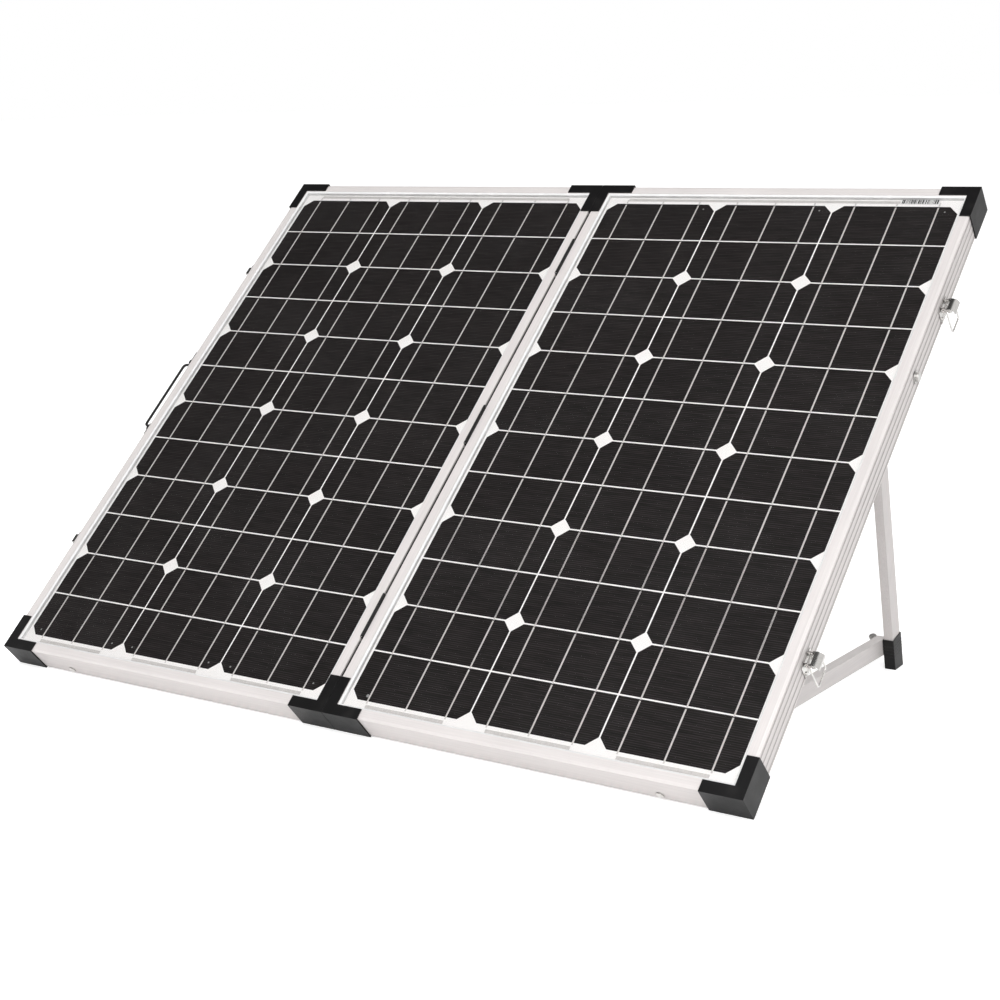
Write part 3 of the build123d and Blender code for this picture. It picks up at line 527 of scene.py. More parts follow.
def add_cross_screw(bm, centre, normal, radius, height):
    """A pan head with a raised cross, so that it reads as a drive recess in relief."""
    add_dome(bm, centre, normal, radius, height)
    top = Vector(centre) + Vector(normal) * height * 0.9
    reach = radius * 0.45
    half = radius * 0.1
    rise = height * 0.12
    side = Vector(normal).orthogonal().normalized()
    other = Vector(normal).cross(side)
    for a, b in ((side, other), (other, side)):
        corners = [top + a * i * reach + b * j * half + Vector(normal) * k * rise
                   for i in (-1, 1) for j in (-1, 1) for k in (-1, 1)]
        low = Vector([min(c[n] for c in corners) for n in range(3)])
        high = Vector([max(c[n] for c in corners) for n in range(3)])
        add_box(bm, low, high)


def round_path(points, radius, steps=6):
    """A polyline with its corners rounded by short arcs."""
    points = [Vector(p) for p in points]
    path = [points[0]]
    for before, corner, after in zip(points, points[1:], points[2:]):
        arm = min(radius, (corner - before).length / 2.01, (after - corner).length / 2.01)
        start = corner + (before - corner).normalized() * arm
        end = corner + (after - corner).normalized() * arm
        for k in range(steps + 1):
            t = k / steps
            path.append(start * (1 - t) ** 2 + corner * 2 * t * (1 - t) + end * t * t)
    path.append(points[-1])
    return path


def subdivide_path(path, step):
    """Adds points so that no stretch is longer than step."""
    fine = [path[0]]
    for a, b in zip(path, path[1:]):
        count = max(1, math.ceil((b - a).length / step))
        fine += [a.lerp(b, (k + 1) / count) for k in range(count)]
    return fine


def add_tube(bm, path, radius, sides=16, closed=False):
    """A closed tube along a path, its section carried without twist."""
    count = len(path)
    tangents = []
    for k in range(count):
        if closed:
            tangents.append((path[(k + 1) % count] - path[k - 1]).normalized())
        else:
            ahead = path[min(k + 1, count - 1)]
            behind = path[max(k - 1, 0)]
            tangents.append((ahead - behind).normalized())
    side = tangents[0].orthogonal().normalized()
    rings = []
    for point, tangent in zip(path, tangents):
        side = (side - tangent * side.dot(tangent)).normalized()
        other = tangent.cross(side)
        rings.append([bm.verts.new(point + side * math.cos(a) * radius
                                   + other * math.sin(a) * radius)
                      for a in (2 * math.pi * n / sides for n in range(sides))])
    add_skin(bm, rings, closed)


def add_prism(bm, outline, low, high):
    """An outline of (x, z) points drawn out along y from low to high."""
    add_skin(bm, [[bm.verts.new((x, y, z)) for x, z in outline] for y in (low, high)])


# ---- Laminate details ----
def cell_area(side):
    """Panel coordinates of the cell field: left, bottom, right, top."""
    low, high = local_box(side + "_cells")
    return low.x - CELL_GAP / 2, low.y - CELL_GAP / 2, high.x + CELL_GAP / 2, high.y + CELL_GAP / 2


def busbars(side):
    """Ribbons of every half cell with their small breaks, and the collector strips."""
    left, bottom, right, top = cell_area(side)
    low, high = local_box(side + "_ribbons")
    half = BUSBAR_WIDTH / 2
    break_low = 0.0030
    break_high = 0.0016
    strip_inset = 0.027
    strip = 0.0042
    bm = bmesh.new()
    for column in range(COLUMNS):
        middle = left + (column + 0.5) * COLUMN_PITCH
        for k in (-1, 0, 1):
            x = middle + k * BUSBAR_PITCH
            for pair in range(PAIRS):
                start = bottom + pair * PAIR_PITCH
                middle_y = start + PAIR_PITCH / 2
                add_box(bm, (x - half, start - CELL_GAP, low.z),
                        (x + half, middle_y - break_low, high.z))
                add_box(bm, (x - half, middle_y - break_high, low.z),
                        (x + half, start + PAIR_PITCH - break_low, high.z))
            add_box(bm, (x - half, top - break_high, low.z), (x + half, high.y - strip / 2, high.z))
    add_box(bm, (left + strip_inset, high.y - strip, low.z),
            (right - strip_inset, high.y, high.z))
    for column in range(COLUMNS):
        x = left + column * COLUMN_PITCH
        add_box(bm, (x + strip_inset, low.y, low.z),
                (x + COLUMN_PITCH - strip_inset, low.y + strip, high.z))
    new_piece(side + "_busbars", bm, "tinned_ribbon", side + "_panel",
              stands_for=[side + "_ribbons"])


def sealant(name, side, surface_z, outward, width, skirt):
    """Bead of sealant in the corner between the frame and the laminate, with a buried wall of painted light that
    hides the lip's shadow.
    """
    low, high = local_box(side + "_long_rails")
    x0 = low.x + LIP_WIDTH
    x1 = high.x - LIP_WIDTH
    y0 = low.y + LIP_WIDTH
    y1 = high.y - LIP_WIDTH
    corners = [(x0, y0), (x1, y0), (x1, y1), (x0, y1)]
    profile = [(0.0, -skirt), (0.0, width), (width * 0.9, width * 0.6), (width * 2.0, 0.0),
               (width * 2.0, -skirt)]
    bm = bmesh.new()
    rings = []
    for inset, rise in profile:
        rings.append([bm.verts.new((x + inset if x == x0 else x - inset,
                                    y + inset if y == y0 else y - inset,
                                    surface_z + outward * rise)) for x, y in corners])
    add_skin(bm, rings, closed=True)
    new_piece(side + name, bm, "seal", side + "_panel")


def seals(side):
    """Narrow bead along the glass, which runs down beside the laminate, and a wide rear bead. The pale part that
    runs down is painted light, hiding the shadow of the lip.
    """
    glass_z = local_box(side + "_glass")[1].z
    back_z = local_box(side + "_backsheet")[0].z
    short_of_back = 0.0004
    # The glass bead's deep pale wall is painted light that hides the lip's shadow; the rear bead has none.
    sealant("_glass_seal", side, glass_z, 1, 0.0012, glass_z - back_z - short_of_back)
    sealant("_back_seal", side, back_z, -1, 0.0022, 0.0)


def code_sticker():
    """Small generic bar sticker under the right panel's glass, in its top margin."""
    right, top = cell_area("right")[2:]
    z = local_box("right_ribbons")[1].z
    from_right = 0.0270
    above_cells = 0.0030
    wide = 0.0490
    tall = 0.0092
    sheet = 0.0001
    side_margin = 0.002
    end_margin = 0.0008
    x0, x1 = right - from_right - wide, right - from_right
    y0, y1 = top + above_cells, top + above_cells + tall
    bm = bmesh.new()
    add_box(bm, (x0, y0, z), (x1, y1, z + sheet))
    add_box(bm, (x0 + sheet, y0 + sheet, z + sheet), (x1 - sheet, y1 - sheet, z + sheet * 1.2))
    new_piece("sticker_paper", bm, "print_white", "right_panel")
    bm = bmesh.new()
    x = x0 + side_margin
    while x < x1 - side_margin * 1.5:
        width = rng.choice((0.0005, 0.0008, 0.0013, 0.0018))
        add_box(bm, (x, y0 + end_margin, z + sheet), (x + width, y1 - end_margin, z + sheet * 2))
        x += width + rng.choice((0.0005, 0.0008, 0.0011))
    new_piece("sticker_bars", bm, "print_black", "right_panel")


def cell_dots(side):
    """Tiny solder test dots near the cut corners of the end rows, and one larger dot."""
    left, bottom, _, top = cell_area(side)
    face = local_box(side + "_cells")[1].z
    from_side = 0.017
    from_end = 0.0095
    radius = 0.0011
    height = 0.00012
    row_y = bottom + from_end if side == "left" else top - from_end
    corners = (from_side, COLUMN_PITCH - from_side)
    bm = bmesh.new()
    for column in range(COLUMNS):
        for x in corners if side == "left" else corners[1:]:
            add_disc(bm, (left + column * COLUMN_PITCH + x, row_y, face), (0, 0, 1), radius,
                     height, 12)
    if side == "right":
        large_radius = 0.0020
        add_disc(bm, (left + 0.0234, bottom + 0.0075, face), (0, 0, 1), large_radius, height, 16)
    new_piece(side + "_cell_dots", bm, "solder_dot", side + "_panel")


def gap_foam():
    """Foam strips on the left panel's inner wall, between the fold hinges; near-black, they are also painted shade
    that stands in for the shadow inside the fold gap.
    """
    rail_low, rail_high = local_box("left_long_rails")
    hinge_low, hinge_high = local_box("hinge_left_leaves")
    edge = rail_high.x
    clear = 0.004
    leaf = 0.060
    cap = 0.050
    thick = 0.0015
    above_rear = 0.004
    below_face = 0.0022
    starts = [hinge_low.y, (hinge_low.y + hinge_high.y - leaf) / 2, hinge_high.y - leaf]
    stops = [rail_low.y + cap] + [y + leaf + clear for y in starts]
    bm = bmesh.new()
    for low, high in zip(stops, [y - clear for y in starts] + [rail_high.y - cap]):
        add_box(bm, (edge, low, rail_low.z + above_rear), (edge + thick, high, -below_face), 0.0004)
    new_piece("gap_foam", bm, "foam", "left_panel", smooth=True)


# ---- Frame fasteners ----
def frame_rivets(side):
    """Blind rivets that hold the corner caps to the frame's rear face."""
    low, high = local_box(side + "_corner_caps")
    reach = 0.034
    from_edge = 0.0075
    radius = 0.0028
    height = 0.0009
    bm = bmesh.new()
    for x, out in ((low.x, 1), (high.x, -1)):
        for y, up in ((low.y, 1), (high.y, -1)):
            for dx, dy in ((reach, from_edge), (from_edge, reach)):
                add_dome(bm, (x + out * dx, y + up * dy, low.z), (0, 0, -1), radius, height)
    new_piece(side + "_cap_rivets", bm, "plated_steel", side + "_panel", smooth=True)


def latch_rivets():
    """Rounded heads on the rivets of the latch plates and the catches."""
    plate = 0.0022
    radius = 0.0023
    height = 0.0005
    # A node, its body, the way out of the wall, half a pair's spread, height of the row above
    # the node's rear edge and distance of the pairs from the node's ends.
    rows = (("latch_bases", "right_panel", 1, 0.0095, 0.0045, 0.013),
            ("latch_catches", "left_panel", -1, 0.0045, 0.0060, 0.009))
    for node, body, out, spread, above, from_end in rows:
        low, high = local_box(node)
        wall = low.x if out > 0 else high.x
        bm = bmesh.new()
        for middle in (low.y + from_end, high.y - from_end):
            for side in (-1, 1):
                add_dome(bm, (wall + out * plate, middle + side * spread, low.z + above),
                         (out, 0, 0), radius, height)
        new_piece(node + "_rivets", bm, "stainless", body, smooth=True)


# ---- Toggle latches and carry handle ----
def latch_lever(level):
    """Curled sheet lever with two rounded cheeks."""
    node = level + "_latch_lever"
    pin = joint_place(level + "_latch_close")
    low, high = local_box(node)
    sheet = 0.0011
    cheek = 0.0016
    eye = 0.003
    steps = 10
    start = Vector((pin.x + 0.0040, pin.z + eye))
    bend = Vector((high.x - 0.0006, pin.z + eye + 0.0006))
    end = Vector((high.x, low.z))
    curve = [start * (1 - t) ** 2 + bend * 2 * t * (1 - t) + end * t * t
             for t in (k / steps for k in range(steps + 1))]
    inner = [p + Vector((-sheet * k / steps, -sheet * (1 - k / steps / 2)))
             for k, p in enumerate(curve)]
    bm = bmesh.new()
    add_prism(bm, curve + inner[::-1], low.y, high.y)
    arc = [(pin.x + eye * math.cos(a), pin.z + eye * math.sin(a))
           for a in (math.radians(100 + 17 * k) for k in range(steps + 1))]
    outline = arc + [(pin.x + 0.0090, pin.z - 0.0022), (pin.x + 0.0108, pin.z + 0.0012),
                     (pin.x + 0.0080, pin.z + eye - sheet / 2)]
    add_prism(bm, outline, low.y, low.y + cheek)
    add_prism(bm, outline, high.y - cheek, high.y)
    new_piece(level + "_lever_sheet", bm, "stainless", node, smooth=True, stands_for=[node])


def latch_bail(level):
    """Bent wire loop with rounded corners."""
    node = level + "_latch_bail"
    hinge = joint_place(level + "_bail_swing")
    low, high = local_box(node)
    wire = 0.001
    bend = 0.0035
    left, right = low.y + wire, high.y - wire
    top, bottom = high.z - wire, low.z + wire
    corners = [(hinge.x, hinge.y, top), (hinge.x, right, top), (hinge.x, right, bottom),
               (hinge.x, left, bottom), (hinge.x, left, top), (hinge.x, hinge.y, top)]
    bm = bmesh.new()
    add_tube(bm, round_path(corners, bend)[:-1], wire, 12, closed=True)
    new_piece(level + "_bail_wire", bm, "stainless", node, smooth=True, stands_for=[node])


def handle():
    """Slim bent bar with an eye at each end, on the left panel's outer wall."""
    pin = joint_place("handle_swing")
    low, high = local_box("handle_grip")
    bar = 0.0018
    bend = 0.006
    eye = 0.0034
    arm = 0.0040
    out = low.x + bar
    first, last = low.y + arm / 2, high.y - arm / 2
    bm = bmesh.new()
    path = round_path([(pin.x, first, pin.z), (out, first, pin.z), (out, last, pin.z),
                       (pin.x, last, pin.z)], bend)
    add_tube(bm, path, bar, 16)
    for y in (low.y, high.y - arm):
        add_disc(bm, (pin.x, y, pin.z), (0, 1, 0), eye, arm, 28)
    new_piece("handle_bar", bm, "handle_plastic", "handle_grip", smooth=True, bevel=0.0003,
              stands_for=["handle_grip"])


# ---- Junction boxes, controller and cables ----
def junction_box(side):
    """Rounded lid with ribs and screws, and the sealant under the box."""
    low, high = local_box(side + "_junction_lid")
    base_low, base_high = local_box(side + "_junction_box")
    over = Vector((0.0012, 0.0012, 0))
    rib = 0.0016
    rib_pitch = 0.0103
    rib_margin = 0.014
    first_rib = 0.024
    proud = 0.0008
    bm = bmesh.new()
    add_box(bm, low - over, high + over, 0.0010)
    for k in range(7):
        x = low.x + first_rib + k * rib_pitch
        add_box(bm, (x - rib / 2, low.y + rib_margin, low.z - proud),
                (x + rib / 2, high.y - rib_margin, low.z + proud / 2), 0.0003)
    new_piece(side + "_junction_cover", bm, "box_plastic", side + "_panel", smooth=True,
              stands_for=[side + "_junction_lid"])
    screws(side + "_junction_screws", low, high, side + "_panel")
    bead = 0.003
    bead_height = 0.0016
    bm = bmesh.new()
    add_box(bm, (base_low.x - bead, base_low.y - bead, base_high.z - bead_height),
            (base_high.x + bead, base_high.y + bead, base_high.z), 0.0007)
    new_piece(side + "_junction_bead", bm, "seal", side + "_panel", smooth=True)


def screws(name, low, high, body):
    """Four cross-head screws near the corners of a rear cover."""
    inset = 0.0065
    radius = 0.0029
    height = 0.0012
    bm = bmesh.new()
    for x in (low.x + inset, high.x - inset):
        for y in (low.y + inset, high.y - inset):
            add_cross_screw(bm, (x, y, low.z), (0, 0, -1), radius, height)
    new_piece(name, bm, "plated_steel", body, smooth=True)


def add_box_outline(bm, low, high, width, low_z, high_z, soft=0.0):
    """Four bars along the inner side of a rectangle's edges."""
    (x0, y0), (x1, y1) = low, high
    for a, b in (((x0, y0), (x1, y0 + width)), ((x0, y1 - width), (x1, y1)),
                 ((x0, y0), (x0 + width, y1)), ((x1 - width, y0), (x1, y1))):
        add_box(bm, (*a, low_z), (*b, high_z), soft)


def controller_bezel():
    """Rim round the controller's window, and grip ribs on both sides of it."""
    low, high = local_box("controller_cover")
    glass_low, glass_high = local_box("controller_window")
    rise = 0.0012
    rim = 0.0035
    rib_pitch = 0.0055
    rib_width = 0.0018
    rib_length = 0.022
    proud = 0.0006
    side_margin = 0.0100
    bm = bmesh.new()
    add_box_outline(bm, (glass_low.x - rim, glass_low.y - rim),
                    (glass_high.x + rim, glass_high.y + rim), rim, low.z - rise,
                    low.z + rise / 2, 0.0005)
    for x in (low.x + side_margin, high.x - side_margin - rib_length):
        for k in range(5):
            y = glass_low.y + 0.002 + k * rib_pitch
            add_box(bm, (x, y, low.z - proud), (x + rib_length, y + rib_width, low.z + proud / 2),
                    0.0003)
    new_piece("controller_bezel", bm, "box_plastic", "left_panel", smooth=True)
    screws("controller_screws", low, high, "left_panel")


def controller_display():
    """Display plate with a row of rising bars and a battery outline with three cells."""
    low, high = local_box("controller_window")
    plate_z = high.z + 0.0004
    mark = 0.00015
    bm = bmesh.new()
    add_box(bm, (low.x, low.y, plate_z), (high.x, high.y, plate_z + 0.0008), 0.0002)
    new_piece("display_plate", bm, "display", "left_panel")
    bm = bmesh.new()
    bar_pitch = 0.0034
    bar_width = 0.0022
    bar_rise = 0.0014
    for k in range(8):
        x = low.x + 0.008 + k * bar_pitch
        add_box(bm, (x, low.y + 0.006, plate_z - mark),
                (x + bar_width, low.y + 0.009 + k * bar_rise, plate_z))
    edge = 0.0006
    wide, tall = 0.014, 0.010
    pole = 0.0012
    x0, y0 = low.x + 0.042, low.y + 0.009
    add_box_outline(bm, (x0, y0), (x0 + wide, y0 + tall), edge, plate_z - mark, plate_z)
    add_box(bm, (x0 + wide, y0 + tall * 0.3, plate_z - mark),
            (x0 + wide + pole, y0 + tall * 0.7, plate_z))
    cell_pitch = 0.0038
    cell_width = 0.0026
    inset = 0.0018
    for k in range(3):
        x = x0 + inset + k * cell_pitch
        add_box(bm, (x, y0 + inset, plate_z - mark), (x + cell_width, y0 + tall - inset, plate_z))
    new_piece("display_marks", bm, "print_black", "left_panel")


def controller_lamps():
    """Three small round lamps below the window."""
    low, high = local_box("controller_cover")
    middle = (low.x + high.x) / 2
    lamp_y = low.y + 0.021
    pitch = 0.006
    radius = 0.0016
    height = 0.0013
    for name, place, tint in (("charge_lamp", -1, "lamp_green"), ("load_lamp", 0, "lamp_green"),
                              ("fault_lamp", 1, "lamp_red")):
        bm = bmesh.new()
        add_dome(bm, (middle + place * pitch, lamp_y, low.z), (0, 0, -1), radius, height)
        new_piece(name, bm, tint, "left_panel", smooth=True)


def button_cap(name):
    """Raised pad on a push button."""
    low, high = local_box(name + "_button")
    inset = 0.0026
    proud = 0.0004
    bm = bmesh.new()
    add_box(bm, (low.x + inset, low.y + inset, low.z - proud),
            (high.x - inset, high.y - inset, low.z + proud), 0.0003)
    new_piece(name + "_button_cap", bm, "button_rubber", name + "_button", smooth=True)


def add_gland(bm, place, direction):
    """Moulded strain relief against the backsheet: a collar, then a stepped boot."""
    place = Vector(place)
    direction = Vector(direction)
    across = Vector((abs(direction.y), abs(direction.x), 0))
    up = Vector((0, 0, 0.0024))
    # Each step's start, end, half width and depth below the cable's axis.
    steps = ((0.0, 0.005, 0.0065, 0.0074), (0.005, 0.009, 0.0050, 0.0058),
             (0.009, 0.012, 0.0042, 0.0048))
    for start, stop, half, deep in steps:
        a = place + direction * start - across * half + up
        b = place + direction * stop + across * half - Vector((0, 0, deep))
        add_box(bm, [min(p) for p in zip(a, b)], [max(p) for p in zip(a, b)], 0.0009)


def add_clip(bm, place, along, foot):
    """Saddle clip over a cable that runs along one axis, with two feet glued at height foot."""
    place = Vector(place)
    along = Vector(along)
    across = Vector((along.y, along.x, 0))
    over = 0.0037
    sheet = 0.0013
    saddle = along * 0.0030 + across * over
    feet = along * 0.0034 + across * 0.0085
    top = Vector((0, 0, foot))
    add_box(bm, place - saddle - Vector((0, 0, over)), place + saddle + top, 0.0011)
    add_box(bm, place - feet + Vector((0, 0, foot - sheet)), place + feet + top, 0.0004)


def cable_layout():
    """Axes of the cables' straight runs, in panel coordinates, from the CAD cables' boxes."""
    right_low, right_high = local_box("right_link_cable")
    left_low = local_box("left_link_cable")[0]
    lead_low, lead_high = local_box("junction_cable")
    out_low, out_high = local_box("output_lead")
    plug_width = 0.018
    plug_length = 0.038
    plug_run = 0.100
    end_y = out_low.y + plug_length
    return SimpleNamespace(
        lie=right_high.z - CABLE_RADIUS, back=right_high.z, over=right_low.z + CABLE_RADIUS,
        cross_y=right_low.y + CABLE_RADIUS, side_y=left_low.y + CABLE_RADIUS,
        right_x=right_high.x - CABLE_RADIUS, right_start=right_high.y, left_end=left_low.x,
        fold_x=0.036, turn_x=0.060,
        lead_x=(lead_low.x + lead_high.x) / 2, lead_low=lead_low.y, lead_high=lead_high.y,
        out_start=out_high.y, turn_y=end_y + plug_run, end_y=end_y,
        end_x=out_low.x + plug_width / 2, plug_low=out_low, plug_width=plug_width)


def link_cable(run):
    """The flexible link from the right junction box over the fold to the controller."""
    points = [(run.right_x, run.right_start, run.lie), (run.right_x, run.cross_y, run.lie),
              (run.fold_x, run.cross_y, run.lie), (run.fold_x, run.cross_y, run.over),
              (-run.fold_x, run.cross_y, run.over), (-run.fold_x, run.cross_y, run.lie),
              (-run.turn_x, run.cross_y, run.lie), (-run.turn_x, run.side_y, run.lie),
              (run.left_end, run.side_y, run.lie)]
    bend = 0.009
    step = 0.003
    bm = bmesh.new()
    add_tube(bm, subdivide_path(round_path(points, bend), step), CABLE_RADIUS, 14)
    link = new_piece("panel_link", bm, "cable_jacket", smooth=True,
                     stands_for=["right_link_cable", "left_link_cable"])
    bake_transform(link)


def junction_lead(run):
    """Short lead from the left junction box to the controller, bowed a little."""
    slack = 0.0012
    bend = 0.05
    bm = bmesh.new()
    add_tube(bm, round_path([(run.lead_x, run.lead_high, run.lie),
                             (run.lead_x + slack, (run.lead_low + run.lead_high) / 2, run.lie),
                             (run.lead_x, run.lead_low, run.lie)], bend), CABLE_RADIUS, 14)
    new_piece("junction_lead", bm, "cable_jacket", "left_panel", smooth=True,
              stands_for=["junction_cable"])


def output_lead(run):
    """Lead from the controller to the plug, with the plug's tapered boot."""
    bend = 0.016
    in_plug = 0.004
    boot = 0.010
    boot_radius = 0.0032
    taper = 1.2
    bm = bmesh.new()
    add_tube(bm, round_path([(run.lead_x, run.out_start, run.lie),
                             (run.lead_x, run.turn_y, run.lie), (run.end_x, run.turn_y, run.lie),
                             (run.end_x, run.end_y - in_plug, run.lie)], bend, 10),
             CABLE_RADIUS, 14)
    add_disc(bm, (run.end_x, run.end_y + boot, run.lie), (0, -1, 0), boot_radius, boot, 20, taper)
    new_piece("output_cable", bm, "cable_jacket", "left_panel", smooth=True,
              stands_for=["output_lead"])


def plug_halves(run):
    """The output plug's two keyed housings with grip ribs."""
    low = run.plug_low
    joint = 0.0001
    deep = 0.0095
    margin = 0.001
    proud = 0.0004
    rib_pitch = 0.0035
    rib_width = 0.0014
    for name, x0, x1, tint in (
            ("plug_half_a", low.x, run.end_x - joint, "print_black"),
            ("plug_half_b", run.end_x + joint, low.x + run.plug_width, "lamp_red")):
        bm = bmesh.new()
        add_box(bm, (x0, low.y, low.z), (x1, run.end_y, low.z + deep), 0.0009)
        for k in range(4):
            y = low.y + 0.018 + k * rib_pitch
            add_box(bm, (x0 + margin, y, low.z - proud),
                    (x1 - margin, y + rib_width, low.z + proud), 0.0002)
        new_piece(name, bm, tint, "left_panel", smooth=True)


def cable_fittings(run):
    """Strain reliefs where cables enter the boxes, and clips along their runs."""
    case_low, case_high = local_box("controller_case")
    sunk = 0.0002
    foot = run.back + sunk - run.lie
    bm = bmesh.new()
    for x, y, direction in ((run.lead_x, case_high.y, (0, 1, 0)),
                            (run.lead_x, case_low.y, (0, -1, 0)),
                            (case_high.x, run.side_y, (1, 0, 0)),
                            (run.lead_x, run.lead_high, (0, -1, 0))):
        add_gland(bm, (x, y, run.lie), direction)
    for x, y, along in ((-run.turn_x, (run.cross_y + run.side_y) / 2, (0, 1, 0)),
                        (run.lead_x - 0.045, run.turn_y, (1, 0, 0)),
                        (run.end_x, run.end_y + 0.050, (0, 1, 0)),
                        (-2 * run.turn_x, run.side_y, (1, 0, 0))):
        add_clip(bm, (x, y, run.lie), along, foot)
    new_piece("left_cable_fittings", bm, "box_plastic", "left_panel", smooth=True)
    bm = bmesh.new()
    add_gland(bm, (run.right_x, run.right_start, run.lie), (0, -1, 0))
    for back in (0.060, 0.140):
        add_clip(bm, (run.right_x - back, run.cross_y, run.lie), (1, 0, 0), foot)
    new_piece("right_cable_fittings", bm, "box_plastic", "right_panel", smooth=True)


# ---- Feet and wing screws ----
def wing_screw(side):
    """Hub, shank and two rounded wings, turned as they stand beside the foot."""
    node = side + "_wing_screw"
    axis = joint_place(side + "_wing_turn")
    low, high = local_box(node)
    inward = -1 if side == "right" else 1
    tip, end = (low.x, high.x) if inward < 0 else (high.x, low.x)
    wing_length = 0.012
    head = tip - inward * wing_length
    hub_radius, hub_length, hub_taper = 0.0050, 0.0068, 0.84
    shank_radius = 0.0028
    bm = bmesh.new()
    add_disc(bm, (head, axis.y, axis.z), (inward, 0, 0), hub_radius, hub_length, 28, hub_taper)
    add_disc(bm, (head, axis.y, axis.z), (-inward, 0, 0), shank_radius, abs(end - head), 20)
    blade = 0.0011
    wing_radius = 0.0050
    rim = [(0.0068 + wing_radius * math.cos(a), 0.0106 + wing_radius * math.sin(a))
           for a in (math.radians(-20 + 20 * k) for k in range(11))]
    outline = [(0.0064, 0.0030)] + rim + [(0.0012, 0.0030)]
    for turn in (WING_ANGLE, WING_ANGLE + math.pi):
        out = Vector((0, math.cos(turn), math.sin(turn)))
        thick = Vector((0, -out.z, out.y)) * blade
        add_skin(bm, [[bm.verts.new(Vector((head + inward * a, axis.y, axis.z)) + out * r + edge)
                       for a, r in outline] for edge in (-thick, thick)])
    new_piece(side + "_wing_blades", bm, "plated_steel", node, smooth=True, bevel=0.0004,
              stands_for=[node])


def foot_ridges(side):
    """Low grip ridges round the moulded foot, square to the leg."""
    pivot = joint_place(side + "_leg_fold")
    mount = next(m for m in frame["record"]["mounts"] if m["name"] == side + "_foot_sole")
    sole = FROM_ROW @ Vector(mount["pos_m"])
    low, high = local_box(side + "_leg_foot")
    down = sole - pivot
    down.x = 0
    down.normalize()
    across = Vector((0, -down.z, down.y))
    turn = Matrix(((1, 0, 0), (0, across.y, down.y), (0, across.z, down.z))).to_4x4()
    middle_x = (low.x + high.x) / 2
    proud = 0.0003
    wide = (high.x - low.x) + proud
    deep = 0.0244 + 2 * proud
    ridge = 0.0012
    pitch = 0.0045
    above_sole = 0.020
    bm = bmesh.new()
    for k in range(4):
        place = Vector((middle_x, sole.y, sole.z)) - down * (above_sole + k * pitch)
        bmesh.ops.create_cube(bm, size=1.0, matrix=Matrix.Translation(place) @ turn
                              @ Matrix.Diagonal((wide, deep, ridge, 1)))
    new_piece(side + "_foot_ridges", bm, "black_moulding", side + "_leg", bevel=0.0002)


# ---- Stage ----
def camera_turn():
    """Camera rotation from its azimuth, elevation and roll, and its aim."""
    aim = Vector((math.sin(CAMERA_AZIMUTH) * math.cos(CAMERA_ELEVATION),
                  math.cos(CAMERA_AZIMUTH) * math.cos(CAMERA_ELEVATION),
                  math.sin(CAMERA_ELEVATION)))
    turn = aim.to_track_quat("-Z", "Y").to_matrix() @ Matrix.Rotation(CAMERA_ROLL, 3, "Z")
    return turn, aim


def studio_world(dark_way):
    """White for the camera; for light and reflections a pale room with a dark card."""
    g = Graph("studio", world=True)
    way = g.add("TexCoord").outputs["Generated"]
    facing = g.add("VectorMath", {0: way, 1: dark_way}, operation="DOT_PRODUCT")
    room = g.remap(facing.outputs["Value"], DARK_CARD_OUTER, DARK_CARD_INNER, ROOM_LEVEL,
                   DARK_CARD_LEVEL, smooth=True)
    path = g.add("LightPath")
    lit = g.mix(path.outputs["Is Glossy Ray"], grey(ROOM_LEVEL), g.tinted(room, 0.99, 0.985))
    level = g.mix(path.outputs["Is Camera Ray"], lit, grey(1.0))
    bpy.context.scene.world = g.finish(g.add("Background", {"Color": level}).outputs[0])


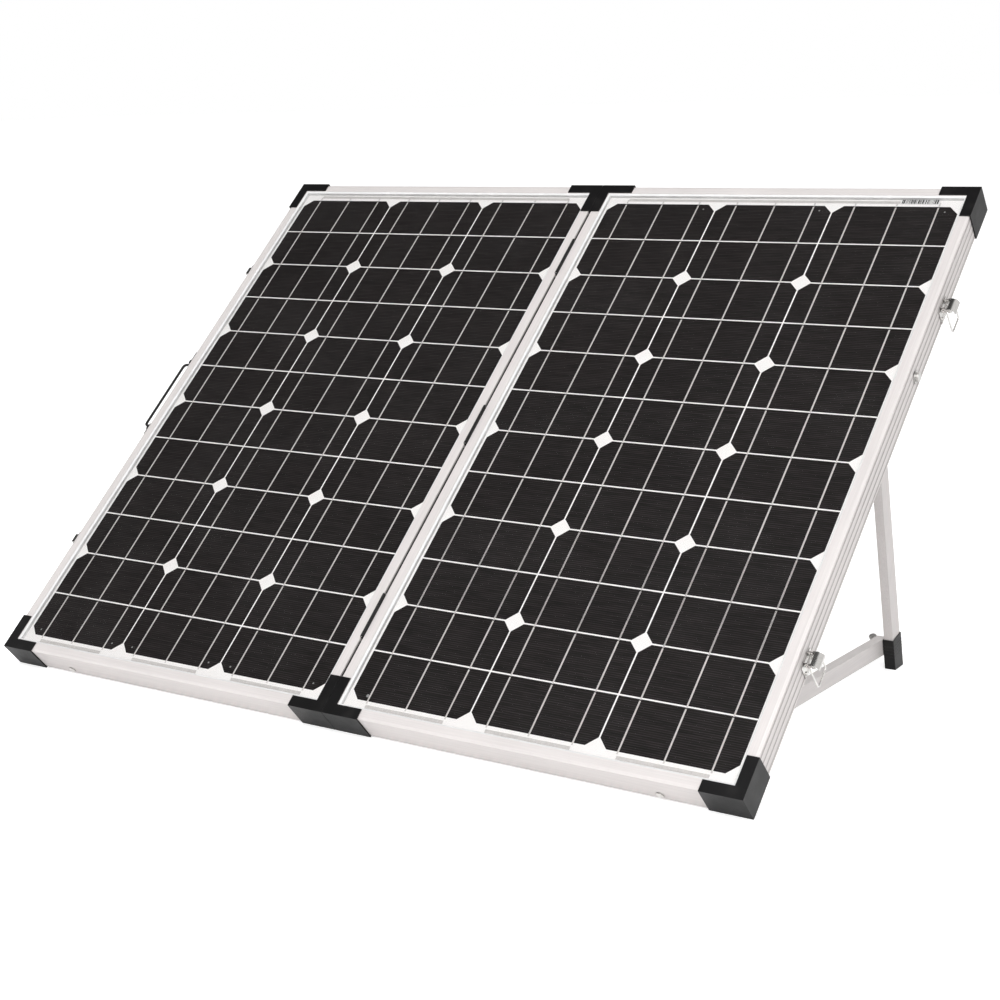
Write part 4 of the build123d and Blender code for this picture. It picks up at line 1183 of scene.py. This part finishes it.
def floor():
    """Large plain paper floor that reads as white as the background behind it."""
    bm = bmesh.new()
    bmesh.ops.create_grid(bm, x_segments=4, y_segments=4, size=FLOOR_REACH)
    mesh = bpy.data.meshes.new("floor")
    bm.to_mesh(mesh)
    bm.free()
    obj = bpy.data.objects.new("floor", mesh)
    bpy.context.scene.collection.objects.link(obj)
    g = Graph("floor_paper")
    cloud = g.noise(g.coordinates(turn=0.0), 2.0, 2.0)
    seen = g.add("LightPath").outputs["Is Camera Ray"]
    paper = g.add("BsdfDiffuse", {"Color": g.mix(cloud, grey(0.93), grey(0.91))}).outputs[0]
    glow = g.add("Emission", {"Color": grey(1.0), "Strength": g.math("MULTIPLY", seen, FLOOR_GLOW)})
    mesh.materials.append(g.finish(g.add("AddShader", {0: paper, 1: glow.outputs[0]}).outputs[0]))


def lights():
    for name, place, size, power in LIGHTS:
        light = bpy.data.lights.new(name, "AREA")
        light.energy = power
        light.size = size
        lamp = bpy.data.objects.new(name, light)
        lamp.location = place
        lamp.rotation_euler = (LIGHT_AIM - lamp.location).to_track_quat("-Z", "Y").to_euler()
        bpy.context.scene.collection.objects.link(lamp)


def stage():
    """Pale floor, soft lights and the camera at the reference viewing angle."""
    turn, aim = camera_turn()
    studio_world(aim - GLASS_NORMAL * 2 * aim.dot(GLASS_NORMAL))
    floor()
    lights()
    camera_data = bpy.data.cameras.new("camera")
    camera_data.lens = CAMERA_LENS
    camera_data.sensor_width = SENSOR_WIDTH
    camera = bpy.data.objects.new("camera", camera_data)
    camera.matrix_world = Matrix.Translation(CAMERA_PLACE) @ turn.to_4x4()
    bpy.context.scene.collection.objects.link(camera)
    bpy.context.scene.camera = camera
    bpy.context.scene.view_settings.view_transform = "Standard"


def main():
    dress_nodes()
    for side in ("left", "right"):
        busbars(side)
        seals(side)
        cell_dots(side)
        frame_rivets(side)
        junction_box(side)
        foot_ridges(side)
        wing_screw(side)
    for level in ("lower", "upper"):
        latch_lever(level)
        latch_bail(level)
    gap_foam()
    code_sticker()
    latch_rivets()
    handle()
    controller_bezel()
    controller_display()
    controller_lamps()
    for name in ("menu", "set"):
        button_cap(name)
    run = cable_layout()
    for make in (link_cable, junction_lead, output_lead, plug_halves, cable_fittings):
        make(run)
    stage()


main()
